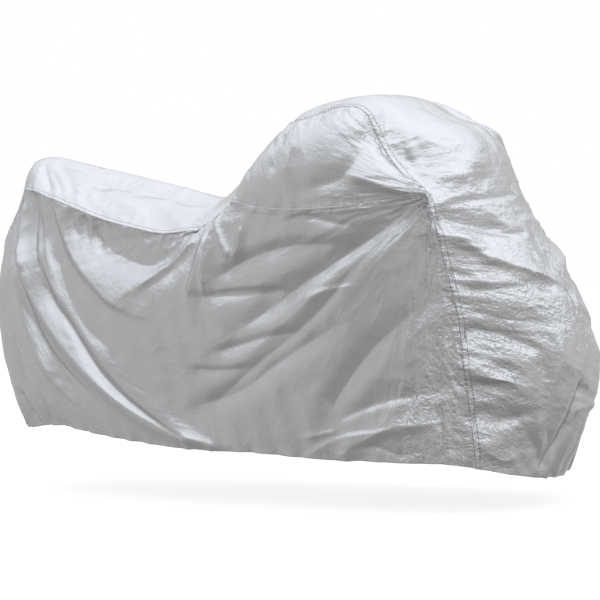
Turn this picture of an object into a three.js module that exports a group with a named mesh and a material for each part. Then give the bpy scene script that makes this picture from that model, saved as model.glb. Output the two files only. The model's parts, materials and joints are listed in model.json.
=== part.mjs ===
// A fitted motorcycle cover of silver-coated cloth, as it drapes when it is on.
//
// It is sewn from five panels. The centre panel is one long band from the front hem, up the
// front, over the hump, along the seat and tail and down to the rear hem. A skirt hangs on each
// side of it, and a gusset fills the hump's side between the skirt's horizontal seam and the
// centre panel. Each panel is a thin closed sheet with a hair of clearance at its seams.
//
// Lengths are in millimetres. In the tables x runs forward from the tail, y runs to the left and
// z is the height above the ground. The finished part has its origin under the cover's top.

import * as THREE from 'three';

// Driving sizes
const SHEET_THICKNESS = 2;
const SEAM_GAP = 0.3;
const TOP_SUPPORT = { x: 1500, y: 0, z: 1240 };
const SILVER = 0xc9ccd2;

// Grid steps of the panels
const STEPS = { rise: 25, seat: 31, hump: 18, across: 8, gusset: 5 };

// Where the skirt's belly and shoulder lines lie between the hem (0) and the top edge (1)
const BELLY_LEVEL = 0.36;
const SHOULDER_LEVEL = 0.7;

// How quickly a skirt leaves the shape of its end seams: a higher power holds it near them only
const SEAM_HOLD = 4;

// The centre panel's sections. right and left are its seams, crest is its middle line, and
// crown says how the section falls from the crest: 1 is a straight roof, 3 a flat top.
const FRONT_RISE = [
  { right: [1912, -250, 134], crest: [2050, 0, 88], left: [1955, 240, 100], crown: 2.0 },
  { right: [1904, -254, 252], crest: [2120, 0, 240], left: [1990, 265, 235], crown: 2.0 },
  { right: [1892, -260, 405], crest: [2155, 5, 395], left: [2020, 278, 390], crown: 2.1 },
  { right: [1881, -264, 552], crest: [2130, 10, 540], left: [2010, 280, 535], crown: 2.1 },
  { right: [1857, -267, 680], crest: [2065, 15, 665], left: [1968, 278, 655], crown: 2.2 },
  { right: [1833, -272, 790], crest: [1985, 15, 785], left: [1895, 285, 785], crown: 2.2 },
  { right: [1799, -275, 924], crest: [1905, 10, 915], left: [1817, 292, 920], crown: 2.2 },
];
const HUMP = [
  { right: [1799, -275, 924], crest: [1905, 10, 915], left: [1817, 292, 920], crown: 2.2 },
  { right: [1757, -257, 953], crest: [1885, 5, 985], left: [1797, 288, 985], crown: 2.2 },
  { right: [1698, -255, 1008], crest: [1850, 5, 1060], left: [1766, 284, 1060], crown: 2.2 },
  { right: [1655, -252, 1065], crest: [1800, 5, 1118], left: [1743, 280, 1115], crown: 2.2 },
  { right: [1617, -250, 1132], crest: [1735, 0, 1150], left: [1710, 275, 1138], crown: 2.2 },
  { right: [1594, -248, 1170], crest: [1660, 0, 1190], left: [1612, 270, 1177], crown: 2.4 },
  { right: [1560, -247, 1191], crest: [1595, 0, 1226], left: [1530, 262, 1222], crown: 2.4 },
  { right: [1510, -247, 1197], crest: [1530, 0, 1242], left: [1470, 262, 1228], crown: 2.4 },
  { right: [1393, -245, 1178], crest: [1420, 0, 1241], left: [1390, 260, 1215], crown: 2.2 },
  { right: [1325, -238, 1163], crest: [1320, 0, 1222], left: [1320, 252, 1195], crown: 2.0 },
  { right: [1255, -212, 1130], crest: [1230, 0, 1185], left: [1240, 232, 1155], crown: 2.0 },
  { right: [1190, -190, 1080], crest: [1140, 0, 1125], left: [1170, 208, 1100], crown: 2.0 },
  { right: [1130, -185, 1015], crest: [1065, 0, 1060], left: [1110, 198, 1030], crown: 2.0 },
  { right: [1085, -195, 950], crest: [1000, 0, 1003], left: [1070, 205, 960], crown: 1.9 },
];
const SEAT = [
  { right: [1085, -195, 950], crest: [1000, 0, 1003], left: [1070, 205, 960], crown: 1.9 },
  { right: [1030, -220, 903], crest: [955, 0, 968], left: [1020, 225, 910], crown: 1.8 },
  { right: [975, -243, 862], crest: [905, 0, 957], left: [970, 243, 868], crown: 1.7 },
  { right: [900, -247, 853], crest: [820, 0, 976], left: [895, 247, 857], crown: 1.6 },
  { right: [805, -248, 852], crest: [730, 0, 1000], left: [800, 248, 857], crown: 1.6 },
  { right: [686, -245, 876], crest: [610, 0, 1030], left: [682, 243, 880], crown: 1.6 },
  { right: [563, -235, 907], crest: [480, 0, 1062], left: [560, 232, 912], crown: 1.6 },
  { right: [417, -218, 953], crest: [340, 0, 1096], left: [415, 216, 955], crown: 1.7 },
  { right: [320, -200, 985], crest: [250, 0, 1118], left: [318, 200, 987], crown: 1.8 },
  { right: [226, -177, 1012], crest: [170, 0, 1132], left: [224, 176, 1012], crown: 2.0 },
];
const REAR_FALL = [
  { right: [226, -177, 1012], crest: [170, 0, 1132], left: [224, 176, 1012], crown: 2.0 },
  { right: [150, -133, 1010], crest: [106, 0, 1120], left: [150, 135, 1008], crown: 1.6 },
  { right: [123, -125, 969], crest: [62, 0, 1065], left: [122, 128, 966], crown: 1.3 },
  { right: [74, -125, 905], crest: [22, 0, 960], left: [75, 128, 902], crown: 1.8 },
  { right: [42, -125, 845], crest: [4, 0, 850], left: [44, 128, 843], crown: 2.2 },
  { right: [15, -110, 735], crest: [-10, 0, 735], left: [17, 112, 733], crown: 2.2 },
  { right: [12, -110, 600], crest: [-12, 0, 600], left: [14, 112, 600], crown: 2.2 },
  { right: [22, -112, 450], crest: [-4, 0, 450], left: [22, 114, 450], crown: 2.2 },
  { right: [45, -116, 325], crest: [15, 0, 325], left: [44, 116, 325], crown: 2.2 },
  { right: [105, -120, 215], crest: [80, 0, 205], left: [104, 120, 212], crown: 2.0 },
];

// The horizontal side seam, from the back of the hump to its front corner
const SIDE_SEAM = {
  right: [
    [1085, -195, 950],
    [1118, -275, 946],
    [1200, -318, 924],
    [1320, -345, 908],
    [1430, -355, 903],
    [1560, -348, 905],
    [1680, -318, 914],
    [1750, -292, 921],
    [1799, -275, 924],
  ],
  left: [
    [1070, 205, 960],
    [1105, 278, 950],
    [1200, 320, 930],
    [1320, 350, 912],
    [1430, 362, 905],
    [1560, 360, 905],
    [1680, 338, 910],
    [1765, 312, 917],
    [1817, 292, 920],
  ],
};

// Lines that the skirts follow between their rear and front seams
const SKIRT_LINES = {
  right: {
    hem: [
      [175, -170, 219],
      [312, -220, 232],
      [550, -260, 204],
      [722, -280, 187],
      [892, -290, 173],
      [1157, -300, 168],
      [1479, -300, 152],
      [1717, -290, 148],
      [1831, -275, 147],
    ],
    belly: [
      [60, -180, 470],
      [170, -222, 475],
      [380, -262, 465],
      [620, -292, 455],
      [900, -308, 450],
      [1200, -322, 450],
      [1480, -325, 440],
      [1700, -308, 430],
      [1810, -285, 425],
    ],
    shoulder: [
      [75, -180, 745],
      [180, -212, 750],
      [400, -250, 725],
      [650, -280, 700],
      [900, -298, 690],
      [1180, -322, 705],
      [1450, -345, 705],
      [1660, -322, 700],
      [1765, -292, 700],
    ],
  },
  left: {
    hem: [
      [175, 170, 215],
      [312, 220, 222],
      [550, 262, 196],
      [722, 282, 182],
      [892, 292, 170],
      [1157, 302, 162],
      [1479, 304, 148],
      [1717, 300, 135],
      [1855, 280, 118],
    ],
    belly: [
      [60, 182, 465],
      [170, 224, 470],
      [380, 264, 460],
      [620, 294, 452],
      [900, 310, 445],
      [1200, 326, 445],
      [1480, 336, 435],
      [1740, 342, 425],
      [1930, 332, 415],
      [2008, 304, 410],
    ],
    shoulder: [
      [75, 182, 742],
      [180, 214, 745],
      [400, 252, 722],
      [650, 282, 700],
      [900, 300, 690],
      [1180, 325, 702],
      [1450, 354, 702],
      [1690, 356, 700],
      [1860, 342, 700],
      [1940, 312, 700],
    ],
  },
};

// How far the gussets stand out above the horizontal seam
const BROW = {
  right: [
    [1085, -195, 950],
    [1150, -290, 1020],
    [1280, -345, 1100],
    [1430, -365, 1130],
    [1560, -360, 1120],
    [1680, -335, 1030],
    [1799, -275, 924],
  ],
  left: [
    [1070, 205, 960],
    [1140, 292, 1030],
    [1280, 358, 1190],
    [1430, 400, 1272],
    [1580, 398, 1262],
    [1740, 362, 1110],
    [1817, 292, 920],
  ],
};

// Main folds. A fold stands out by lift (a trough has a negative lift), fades to nothing at
// wide from its line, and dies away at both ends of its line. Side folds are drawn in x and z,
// folds of the front in y and z, and folds of the top in x and y.
const FOLDS = {
  right: [
    { name: 'rear sweep', lift: 20, wide: 36,
      line: [[200, 730], [345, 560], [495, 425], [665, 310], [880, 210], [1010, 180]] },
    { name: 'sweep groove', lift: -18, wide: 34,
      line: [[300, 730], [430, 560], [580, 395], [760, 275], [890, 215]] },
    { name: 'upper sweep', lift: 13, wide: 34,
      line: [[275, 780], [370, 680], [555, 485], [700, 345], [910, 220]] },
    { name: 'tail band', lift: 11, wide: 32, line: [[145, 720], [215, 555], [290, 450], [340, 375]] },
    { name: 'tail groove', lift: -9, wide: 32, line: [[230, 615], [305, 500], [375, 410], [460, 335]] },
    { name: 'seat drape', lift: 17, wide: 38, line: [[360, 935], [390, 850], [530, 700], [725, 600]] },
    { name: 'seat hollow', lift: -22, wide: 75,
      line: [[460, 900], [605, 805], [780, 760], [920, 795]] },
    { name: 'pull up', lift: 10, wide: 26, line: [[735, 680], [865, 755], [970, 840]] },
    { name: 'pull left', lift: 10, wide: 26, line: [[950, 650], [985, 760], [990, 845]] },
    { name: 'pull right', lift: 14, wide: 28, line: [[1015, 670], [1025, 820], [1045, 890]] },
    { name: 'corner valley', lift: -22, wide: 44,
      line: [[1780, 912], [1675, 830], [1515, 740], [1315, 635], [1135, 540]] },
    { name: 'corner ridge', lift: 9, wide: 34,
      line: [[1745, 870], [1590, 735], [1420, 625], [1130, 440]] },
    { name: 'lower corner valley', lift: -15, wide: 28,
      line: [[1735, 855], [1560, 700], [1445, 590], [1225, 450], [1040, 325]] },
    { name: 'low valley', lift: -12, wide: 44,
      line: [[1505, 550], [1300, 450], [1135, 355], [970, 310]] },
    { name: 'front valley', lift: -15, wide: 50,
      line: [[1810, 630], [1610, 475], [1505, 360], [1445, 280]] },
    { name: 'upper side valley', lift: -15, wide: 42,
      line: [[1050, 700], [1270, 780], [1425, 795], [1535, 790]] },
    { name: 'middle side valley', lift: -9, wide: 32, line: [[965, 650], [1120, 650], [1315, 655]] },
    { name: 'lower side valley', lift: -13, wide: 32, line: [[1040, 475], [1150, 500], [1365, 535]] },
    { name: 'small side valley', lift: -8, wide: 28, line: [[950, 425], [1050, 420], [1190, 430]] },
    { name: 'hem crease', lift: -10, wide: 40, line: [[1480, 270], [1640, 325], [1820, 355]] },
    { name: 'hem flare', lift: 13, wide: 36,
      line: [[1475, 160], [1555, 200], [1675, 255], [1790, 265]] },
    { name: 'brow crease', lift: 12, wide: 30,
      line: [[1560, 1000], [1630, 975], [1690, 950], [1780, 927]] },
    { name: 'brow valley', lift: -10, wide: 34,
      line: [[1600, 1140], [1612, 1065], [1560, 990], [1420, 960]] },
  ],
  left: [
    { name: 'rear sweep', lift: 18, wide: 38,
      line: [[210, 720], [330, 560], [480, 430], [680, 320], [930, 220], [1080, 180]] },
    { name: 'sweep groove', lift: -16, wide: 36,
      line: [[310, 720], [430, 570], [590, 420], [790, 300], [980, 230]] },
    { name: 'tail band', lift: 10, wide: 32, line: [[150, 700], [225, 540], [310, 420]] },
    { name: 'seat drape', lift: 15, wide: 40, line: [[390, 930], [430, 830], [580, 690], [780, 610]] },
    { name: 'seat hollow', lift: -20, wide: 75,
      line: [[500, 890], [650, 800], [800, 770], [930, 800]] },
    { name: 'pull right', lift: 13, wide: 30, line: [[990, 650], [1010, 790], [1040, 890]] },
    { name: 'corner valley', lift: -20, wide: 46,
      line: [[1790, 905], [1660, 815], [1490, 725], [1290, 630], [1120, 560]] },
    { name: 'lower corner valley', lift: -15, wide: 32,
      line: [[1745, 840], [1570, 690], [1400, 560], [1190, 420]] },
    { name: 'front valley', lift: -14, wide: 50,
      line: [[1880, 620], [1700, 500], [1560, 380], [1480, 280]] },
    { name: 'upper side valley', lift: -14, wide: 44, line: [[1080, 690], [1260, 750], [1470, 780]] },
    { name: 'lower side valley', lift: -12, wide: 34, line: [[1010, 450], [1160, 480], [1340, 500]] },
    { name: 'hem flare', lift: 12, wide: 38, line: [[1500, 165], [1610, 215], [1780, 260]] },
    { name: 'brow crease', lift: 10, wide: 32, line: [[1540, 1010], [1640, 975], [1780, 930]] },
  ],
  front: [
    { name: 'nose ridge', lift: 16, wide: 28,
      line: [[-262, 797], [-220, 790], [-130, 710], [-60, 680], [60, 650]] },
    { name: 'nose valley', lift: -14, wide: 32,
      line: [[-265, 880], [-230, 845], [-175, 830], [-90, 825]] },
    { name: 'middle valley', lift: -12, wide: 34, line: [[-255, 595], [-190, 560], [-90, 560]] },
    { name: 'patch valley', lift: -10, wide: 26, line: [[-262, 540], [-210, 510], [-135, 455]] },
    { name: 'patch ridge', lift: 12, wide: 30,
      line: [[-262, 455], [-230, 400], [-190, 375], [-165, 330]] },
    { name: 'low valley', lift: -9, wide: 26, line: [[-262, 285], [-210, 260], [-165, 280]] },
    { name: 'upright valley', lift: -14, wide: 24,
      line: [[-138, 450], [-135, 395], [-150, 235], [-135, 130]] },
    { name: 'upright ridge', lift: 11, wide: 24,
      line: [[-95, 510], [-100, 445], [-140, 285], [-125, 170]] },
    { name: 'deep fold', lift: -22, wide: 22, line: [[-5, 400], [-50, 285], [-90, 190], [-88, 110]] },
    { name: 'far ridge', lift: 12, wide: 30, line: [[90, 520], [70, 380], [20, 240], [10, 120]] },
    { name: 'far valley', lift: -12, wide: 28, line: [[170, 560], [150, 400], [110, 240], [80, 110]] },
    { name: 'far nose ridge', lift: 12, wide: 30, line: [[280, 780], [200, 735], [120, 690]] },
  ],
  top: [
    { name: 'near seat trough', lift: -15, wide: 42,
      line: [[380, -112], [575, -95], [735, -90], [920, -95]] },
    { name: 'far seat trough', lift: -12, wide: 45, line: [[430, 100], [620, 90], [860, 95]] },
    { name: 'tail fold', lift: -7, wide: 24, line: [[195, -80], [250, -130], [300, -185]] },
    { name: 'second tail fold', lift: -7, wide: 26, line: [[240, -50], [320, -110], [400, -175]] },
    { name: 'brow valley', lift: -11, wide: 32,
      line: [[1620, -180], [1670, -235], [1725, -225], [1765, -170]] },
    { name: 'brow ridge', lift: 8, wide: 34, line: [[1790, -240], [1835, -140], [1845, 20]] },
  ],
};

// How squarely a surface faces the way that each group of folds is drawn
const FACING = {
  right: (point) => THREE.MathUtils.smoothstep(-point.y, 90, 170),
  left: (point) => THREE.MathUtils.smoothstep(point.y, 90, 170),
  front: (point, normal) =>
    THREE.MathUtils.smoothstep(normal.x, 0.1, 0.4) * Number(point.x > TOP_SUPPORT.x),
  top: (point, normal) => THREE.MathUtils.smoothstep(normal.z, 0.15, 0.45),
};
const DRAWN_IN = { right: ['x', 'z'], left: ['x', 'z'], front: ['y', 'z'], top: ['x', 'y'] };

// A fold rises over this share of its line at each end, from this share of its lift
const FOLD_END = 0.18;
const END_LIFT = 0.35;

// A seam's corner steps back no further than this cosine allows
const SHARPEST_MITRE = 0.3;

// Inside a panel the cloth is evened out beside the rows that start at a corner of its edge. The
// reach is a share of the rise's steps, and so are the passes, of their square.
const SOFT_REACH = 0.16;
const SOFT_PASSES = 0.016;
const CURVE_SAMPLES = 64;

const vector = (p) => new THREE.Vector3(p[0], p[1], p[2]);
const column = (rows, key) => rows.map((row) => row[key]);

// Points at even distances on the curve through the given ones. The points before and after them
// only say how the curve runs on past its ends.
function evenPoints(points, steps, before = [], after = []) {
  const all = [...before, ...points, ...after].map(vector);
  const curve = new THREE.CatmullRomCurve3(all, false, 'centripetal');
  curve.arcLengthDivisions = (all.length - 1) * CURVE_SAMPLES;
  const lengths = curve.getLengths();
  const start = lengths[before.length * CURVE_SAMPLES];
  const end = lengths[(before.length + points.length - 1) * CURVE_SAMPLES];
  return Array.from({ length: steps + 1 }, (_, i) => {
    const distance = THREE.MathUtils.lerp(start, end, i / steps);
    return curve.getPoint(Math.min(curve.getUtoTmapping(0, distance), 1));
  });
}

// A value read from a list of rows at a fraction of its length
function valueAlong(rows, key, fraction) {
  const place = fraction * (rows.length - 1);
  const i = Math.min(Math.floor(place), rows.length - 2);
  return THREE.MathUtils.lerp(rows[i][key], rows[i + 1][key], place - i);
}

// One stretch of the centre panel: a row of points from seam to seam at each station. The crest
// runs on smoothly into the stretches before and after it.
function bandStations(rows, steps, before = [], after = []) {
  const right = evenPoints(column(rows, 'right'), steps);
  const left = evenPoints(column(rows, 'left'), steps);
  const last = column(before, 'crest').slice(-2, -1);
  const next = column(after, 'crest').slice(1, 2);
  const crest = evenPoints(column(rows, 'crest'), steps, last, next);
  return crest.map((middle, i) => {
    const crown = valueAlong(rows, 'crown', i / steps);
    return Array.from({ length: STEPS.across + 1 }, (_, j) => {
      const side = (2 * j) / STEPS.across - 1;
      const seam = side < 0 ? right[i] : left[i];
      const out = Math.abs(side);
      const fall = out ** crown;
      return new THREE.Vector3(
        THREE.MathUtils.lerp(middle.x, seam.x, fall),
        THREE.MathUtils.lerp(middle.y, seam.y, out),
        THREE.MathUtils.lerp(middle.z, seam.z, fall),
      );
    });
  });
}

// Evens out the points beside the corner row of a grid. inside says how far each column lies
// from the edges that keep their shape, from 0 to 1.
function softened(grid, corner, inside) {
  const reach = SOFT_REACH * STEPS.rise;
  const move = (i, j) => 0.5 * inside(j / (grid[i].length - 1)) * Math.exp(-(((i - corner) / reach) ** 2));
  let rows = grid;
  for (let pass = 0; pass < SOFT_PASSES * STEPS.rise ** 2; pass += 1) {
    const middle = (i, j) => new THREE.Vector3().addVectors(rows[i - 1][j], rows[i + 1][j]).divideScalar(2);
    const evened = (row, i) => row.map((point, j) => point.clone().lerp(middle(i, j), move(i, j)));
    rows = rows.map((row, i) => (i > 0 && i + 1 < rows.length ? evened(row, i) : row));
  }
  return rows;
}

// The centre panel's stations from the front hem to the rear hem
function centreGrid() {
  const grid = [
    ...bandStations(FRONT_RISE, STEPS.rise, [], HUMP),
    ...bandStations(HUMP, STEPS.hump, FRONT_RISE, SEAT).slice(1),
    ...bandStations(SEAT, STEPS.seat, HUMP, REAR_FALL).slice(1),
    ...bandStations(REAR_FALL, STEPS.rise, SEAT).slice(1),
  ];
  const inside = (v) => 1 - (2 * v - 1) ** 2;
  return softened(softened(grid, STEPS.rise, inside), STEPS.rise + STEPS.hump, inside);
}

// Cubic through four points at the levels hem, belly, shoulder and top edge
function throughLevels(points, level) {
  const knots = [0, BELLY_LEVEL, SHOULDER_LEVEL, 1];
  const sum = new THREE.Vector3();
  points.forEach((point, i) => {
    let weight = 1;
    knots.forEach((knot, j) => {
      if (j !== i) weight *= (level - knot) / (knots[i] - knot);
    });
    sum.addScaledVector(point, weight);
  });
  return sum;
}

// A skirt: columns from the rear seam to the front seam, each from the hem to the top edge
function skirtGrid(side) {
  const rearSeam = evenPoints(column(REAR_FALL, side), STEPS.rise).reverse();
  const frontSeam = evenPoints(column(FRONT_RISE, side), STEPS.rise);
  const seatSeam = evenPoints(column(SEAT, side), STEPS.seat).reverse();
  const humpSeam = evenPoints(SIDE_SEAM[side], STEPS.hump);
  const topEdge = [...seatSeam, ...humpSeam.slice(1)];
  const columns = topEdge.length - 1;
  const at = (seam, level) => seam[Math.round(level * STEPS.rise)].toArray();
  const line = (name, level) => {
    return evenPoints([at(rearSeam, level), ...SKIRT_LINES[side][name], at(frontSeam, level)], columns);
  };
  const hem = line('hem', 0);
  const belly = line('belly', BELLY_LEVEL);
  const shoulder = line('shoulder', SHOULDER_LEVEL);
  const inner = (i, level) => throughLevels([hem[i], belly[i], shoulder[i], topEdge[i]], level);
  const grid = topEdge.map((_, i) => {
    const along = i / columns;
    return Array.from({ length: STEPS.rise + 1 }, (_, j) => {
      const level = j / STEPS.rise;
      const rearPull = new THREE.Vector3().subVectors(rearSeam[j], inner(0, level));
      const frontPull = new THREE.Vector3().subVectors(frontSeam[j], inner(columns, level));
      return inner(i, level)
        .addScaledVector(rearPull, (1 - along) ** SEAM_HOLD)
        .addScaledVector(frontPull, along ** SEAM_HOLD);
    });
  });
  return softened(grid, STEPS.seat, (level) => 1 - level ** 6);
}

// A gusset: columns from the back of the hump to its front corner, a lens closed at both ends
function gussetGrid(side) {
  const bottom = evenPoints(SIDE_SEAM[side], STEPS.hump);
  const top = evenPoints(column(HUMP, side), STEPS.hump).reverse();
  const brow = evenPoints(BROW[side], STEPS.hump);
  return bottom.map((low, i) =>
    Array.from({ length: STEPS.gusset + 1 }, (_, j) => {
      const v = j / STEPS.gusset;
      return new THREE.Vector3()
        .addScaledVector(low, (1 - v) ** 2)
        .addScaledVector(brow[i], 2 * v * (1 - v))
        .addScaledVector(top[i], v ** 2);
    }),
  );
}

// All the panels' points, welded where they share a seam
class Cloth {
  points = [];
  index = new Map();
  panels = new Map();

  add(point) {
    const key = point.toArray().map((value) => value.toFixed(2)).join(' ');
    if (!this.index.has(key)) {
      this.index.set(key, this.points.length);
      this.points.push(point.clone());
    }
    return this.index.get(key);
  }

  // flip turns the quads of a grid whose rows and columns run the other way round
  addPanel(name, grid, flip) {
    const ids = grid.map((row) => row.map((point) => this.add(point)));
    const quads = [];
    for (let i = 0; i + 1 < ids.length; i += 1) {
      for (let j = 0; j + 1 < ids[i].length; j += 1) {
        const quad = [ids[i][j], ids[i + 1][j], ids[i + 1][j + 1], ids[i][j + 1]];
        quads.push(flip ? quad.reverse() : quad);
      }
    }
    this.panels.set(name, quads);
  }

  // A face's normal, as long as twice its area
  areaNormal([a, b, c]) {
    const edge = new THREE.Vector3().subVectors(this.points[c], this.points[a]);
    return new THREE.Vector3().subVectors(this.points[b], this.points[a]).cross(edge);
  }

  // A quad is split along the diagonal across which the cloth bends least
  split([a, b, c, d]) {
    const across = [[a, b, c], [a, c, d]];
    const other = [[b, c, d], [b, d, a]];
    const bend = ([first, second]) => this.areaNormal(first).angleTo(this.areaNormal(second));
    const faces = bend(other) < bend(across) ? other : across;
    return faces.filter((face) => new Set(face).size === face.length);
  }

  faces(name) {
    return this.panels.get(name).flatMap((quad) => this.split(quad));
  }

  normals() {
    const normals = this.points.map(() => new THREE.Vector3());
    for (const name of this.panels.keys()) {
      for (const face of this.faces(name)) {
        const normal = this.areaNormal(face);
        for (const id of face) normals[id].add(normal);
      }
    }
    return normals.map((normal) => normal.normalize());
  }

  fold() {
    const smooth = this.normals();
    const lifts = this.points.map((point, i) => foldLift(point, smooth[i]));
    this.points.forEach((point, i) => point.addScaledVector(smooth[i], lifts[i]));
  }
}

// The distance from a place to a line of points, and how far along it the nearest point lies
function nearestOn(line, u, v) {
  let best = Infinity;
  let place = 0;
  for (let i = 0; i + 1 < line.length; i += 1) {
    const [u0, v0] = line[i];
    const du = line[i + 1][0] - u0;
    const dv = line[i + 1][1] - v0;
    const share = THREE.MathUtils.clamp(((u - u0) * du + (v - v0) * dv) / (du * du + dv * dv), 0, 1);
    const distance = Math.hypot(u - u0 - share * du, v - v0 - share * dv);
    if (distance < best) {
      best = distance;
      place = (i + share) / (line.length - 1);
    }
  }
  return { distance: best, place };
}

// How far the folds lift a point of the cloth along its normal
function foldLift(point, normal) {
  let lift = 0;
  for (const [group, folds] of Object.entries(FOLDS)) {
    const facing = FACING[group](point, normal);
    if (facing > 0) {
      const [u, v] = DRAWN_IN[group];
      for (const fold of folds) {
        const { distance, place } = nearestOn(fold.line, point[u], point[v]);
        const ends = THREE.MathUtils.smoothstep(Math.min(place, 1 - place), 0, FOLD_END);
        const along = THREE.MathUtils.lerp(END_LIFT, 1, ends);
        lift += facing * fold.lift * along * Math.exp(-((distance / fold.wide) ** 2));
      }
    }
  }
  return lift;
}

// The loops of edges that belong to one face only
function boundaryOf(faces) {
  const single = new Map();
  const used = new Set(faces.flatMap(([a, b, c]) => [`${a} ${b}`, `${b} ${c}`, `${c} ${a}`]));
  for (const [a, b, c] of faces) {
    for (const [from, to] of [[a, b], [b, c], [c, a]]) {
      if (!used.has(`${to} ${from}`)) single.set(from, to);
    }
  }
  return single;
}

// How far each boundary point steps back into its panel, so that seams keep their clearance
function stepsBack(cloth, normals, boundary) {
  const before = new Map(Array.from(boundary, ([from, to]) => [to, from]));
  const inward = (from, to, normal) =>
    new THREE.Vector3().subVectors(cloth.points[to], cloth.points[from]).cross(normal).negate().normalize();
  const moves = new Map();
  for (const [id, next] of boundary) {
    const a = inward(before.get(id), id, normals[id]);
    const b = inward(id, next, normals[id]);
    const half = new THREE.Vector3().addVectors(a, b).normalize();
    moves.set(id, half.multiplyScalar(SEAM_GAP / 2 / Math.max(half.dot(a), SHARPEST_MITRE)));
  }
  return moves;
}

// The closed sheet of one panel, with its origin under the cover's top
function sheetGeometry(cloth, normals, faces) {
  const boundary = boundaryOf(faces);
  const moves = stepsBack(cloth, normals, boundary);
  const local = new Map();
  const outer = [];
  const inner = [];
  for (const id of new Set(faces.flat())) {
    local.set(id, outer.length);
    const point = cloth.points[id].clone().sub(TOP_SUPPORT);
    if (moves.has(id)) point.add(moves.get(id));
    outer.push(point);
    inner.push(point.clone().addScaledVector(normals[id], -SHEET_THICKNESS));
  }
  const count = outer.length;
  const triangles = [];
  for (const [a, b, c] of faces.map((face) => face.map((id) => local.get(id)))) {
    triangles.push(a, b, c, a + count, c + count, b + count);
  }
  // Both panels of a seam split its walls along the same diagonals, so that twisted walls stay clear
  for (const [from, to] of boundary) {
    const a = local.get(from);
    const b = local.get(to);
    if (from < to) triangles.push(b, a, a + count, b, a + count, b + count);
    else triangles.push(b, a, b + count, a, a + count, b + count);
  }
  const geometry = new THREE.BufferGeometry();
  const positions = [...outer, ...inner].flatMap((point) => point.toArray());
  geometry.setAttribute('position', new THREE.Float32BufferAttribute(positions, 3));
  geometry.setIndex(triangles);
  geometry.computeVertexNormals();
  return geometry;
}

const silverCloth = () =>
  new THREE.MeshStandardMaterial({ color: SILVER, roughness: 0.42, metalness: 0.25 });

const cloth = new Cloth();
cloth.addPanel('centre_panel', centreGrid(), true);
cloth.addPanel('skirt_right', skirtGrid('right'), false);
cloth.addPanel('skirt_left', skirtGrid('left'), true);
cloth.addPanel('gusset_right', gussetGrid('right'), false);
cloth.addPanel('gusset_left', gussetGrid('left'), true);

cloth.fold();

const normals = cloth.normals();
const cover = new THREE.Group();
cover.name = 'motorcycle_cover';
for (const name of cloth.panels.keys()) {
  const panel = new THREE.Mesh(sheetGeometry(cloth, normals, cloth.faces(name)), silverCloth());
  panel.name = name;
  cover.add(panel);
}

export default cover;
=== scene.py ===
"""Dresses a draped motorcycle cover: five sewn panels of silver-coated cloth with their folds,
creases, seams, elastic gathers and stitches, in a plain pale studio."""

import functools
import itertools
import json
import math
from collections import namedtuple

import bpy
import numpy as np
from bpy.props import FloatProperty, FloatVectorProperty, PointerProperty
from mathutils import Matrix

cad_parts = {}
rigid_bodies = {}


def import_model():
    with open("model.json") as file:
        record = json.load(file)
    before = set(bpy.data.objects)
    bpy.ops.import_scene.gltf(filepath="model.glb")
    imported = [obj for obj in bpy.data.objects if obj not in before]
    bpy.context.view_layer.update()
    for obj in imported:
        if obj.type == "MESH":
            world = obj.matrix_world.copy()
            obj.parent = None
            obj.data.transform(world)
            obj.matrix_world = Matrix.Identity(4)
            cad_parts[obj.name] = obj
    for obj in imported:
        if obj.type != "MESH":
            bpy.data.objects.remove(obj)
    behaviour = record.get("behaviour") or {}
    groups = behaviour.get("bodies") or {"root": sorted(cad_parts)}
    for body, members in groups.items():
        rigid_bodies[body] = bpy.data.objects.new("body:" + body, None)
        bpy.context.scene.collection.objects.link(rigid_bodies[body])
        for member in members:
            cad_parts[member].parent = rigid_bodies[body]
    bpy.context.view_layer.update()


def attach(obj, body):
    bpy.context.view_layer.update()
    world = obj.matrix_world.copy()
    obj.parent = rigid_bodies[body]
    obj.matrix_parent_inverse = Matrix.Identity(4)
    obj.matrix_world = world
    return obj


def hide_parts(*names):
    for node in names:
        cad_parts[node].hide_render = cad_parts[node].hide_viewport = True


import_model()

bl_info = {
    "name": "Motorcycle cover",
    "version": (1, 0, 0),
    "blender": (4, 5, 0),
    "location": "View3D > Sidebar > Cover",
    "description": "Makes the cloth, the stitches and the studio of a draped motorcycle cover",
    "category": "Object",
}

# The part's own sizes, in millimetres: x forward from the tail, y to the left, z above the ground
TOP_SUPPORT = np.array([1500.0, 0.0, 1240.0])
BELLY_LEVEL = 0.36
SHOULDER_LEVEL = 0.7
SEAM_HOLD = 4

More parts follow.
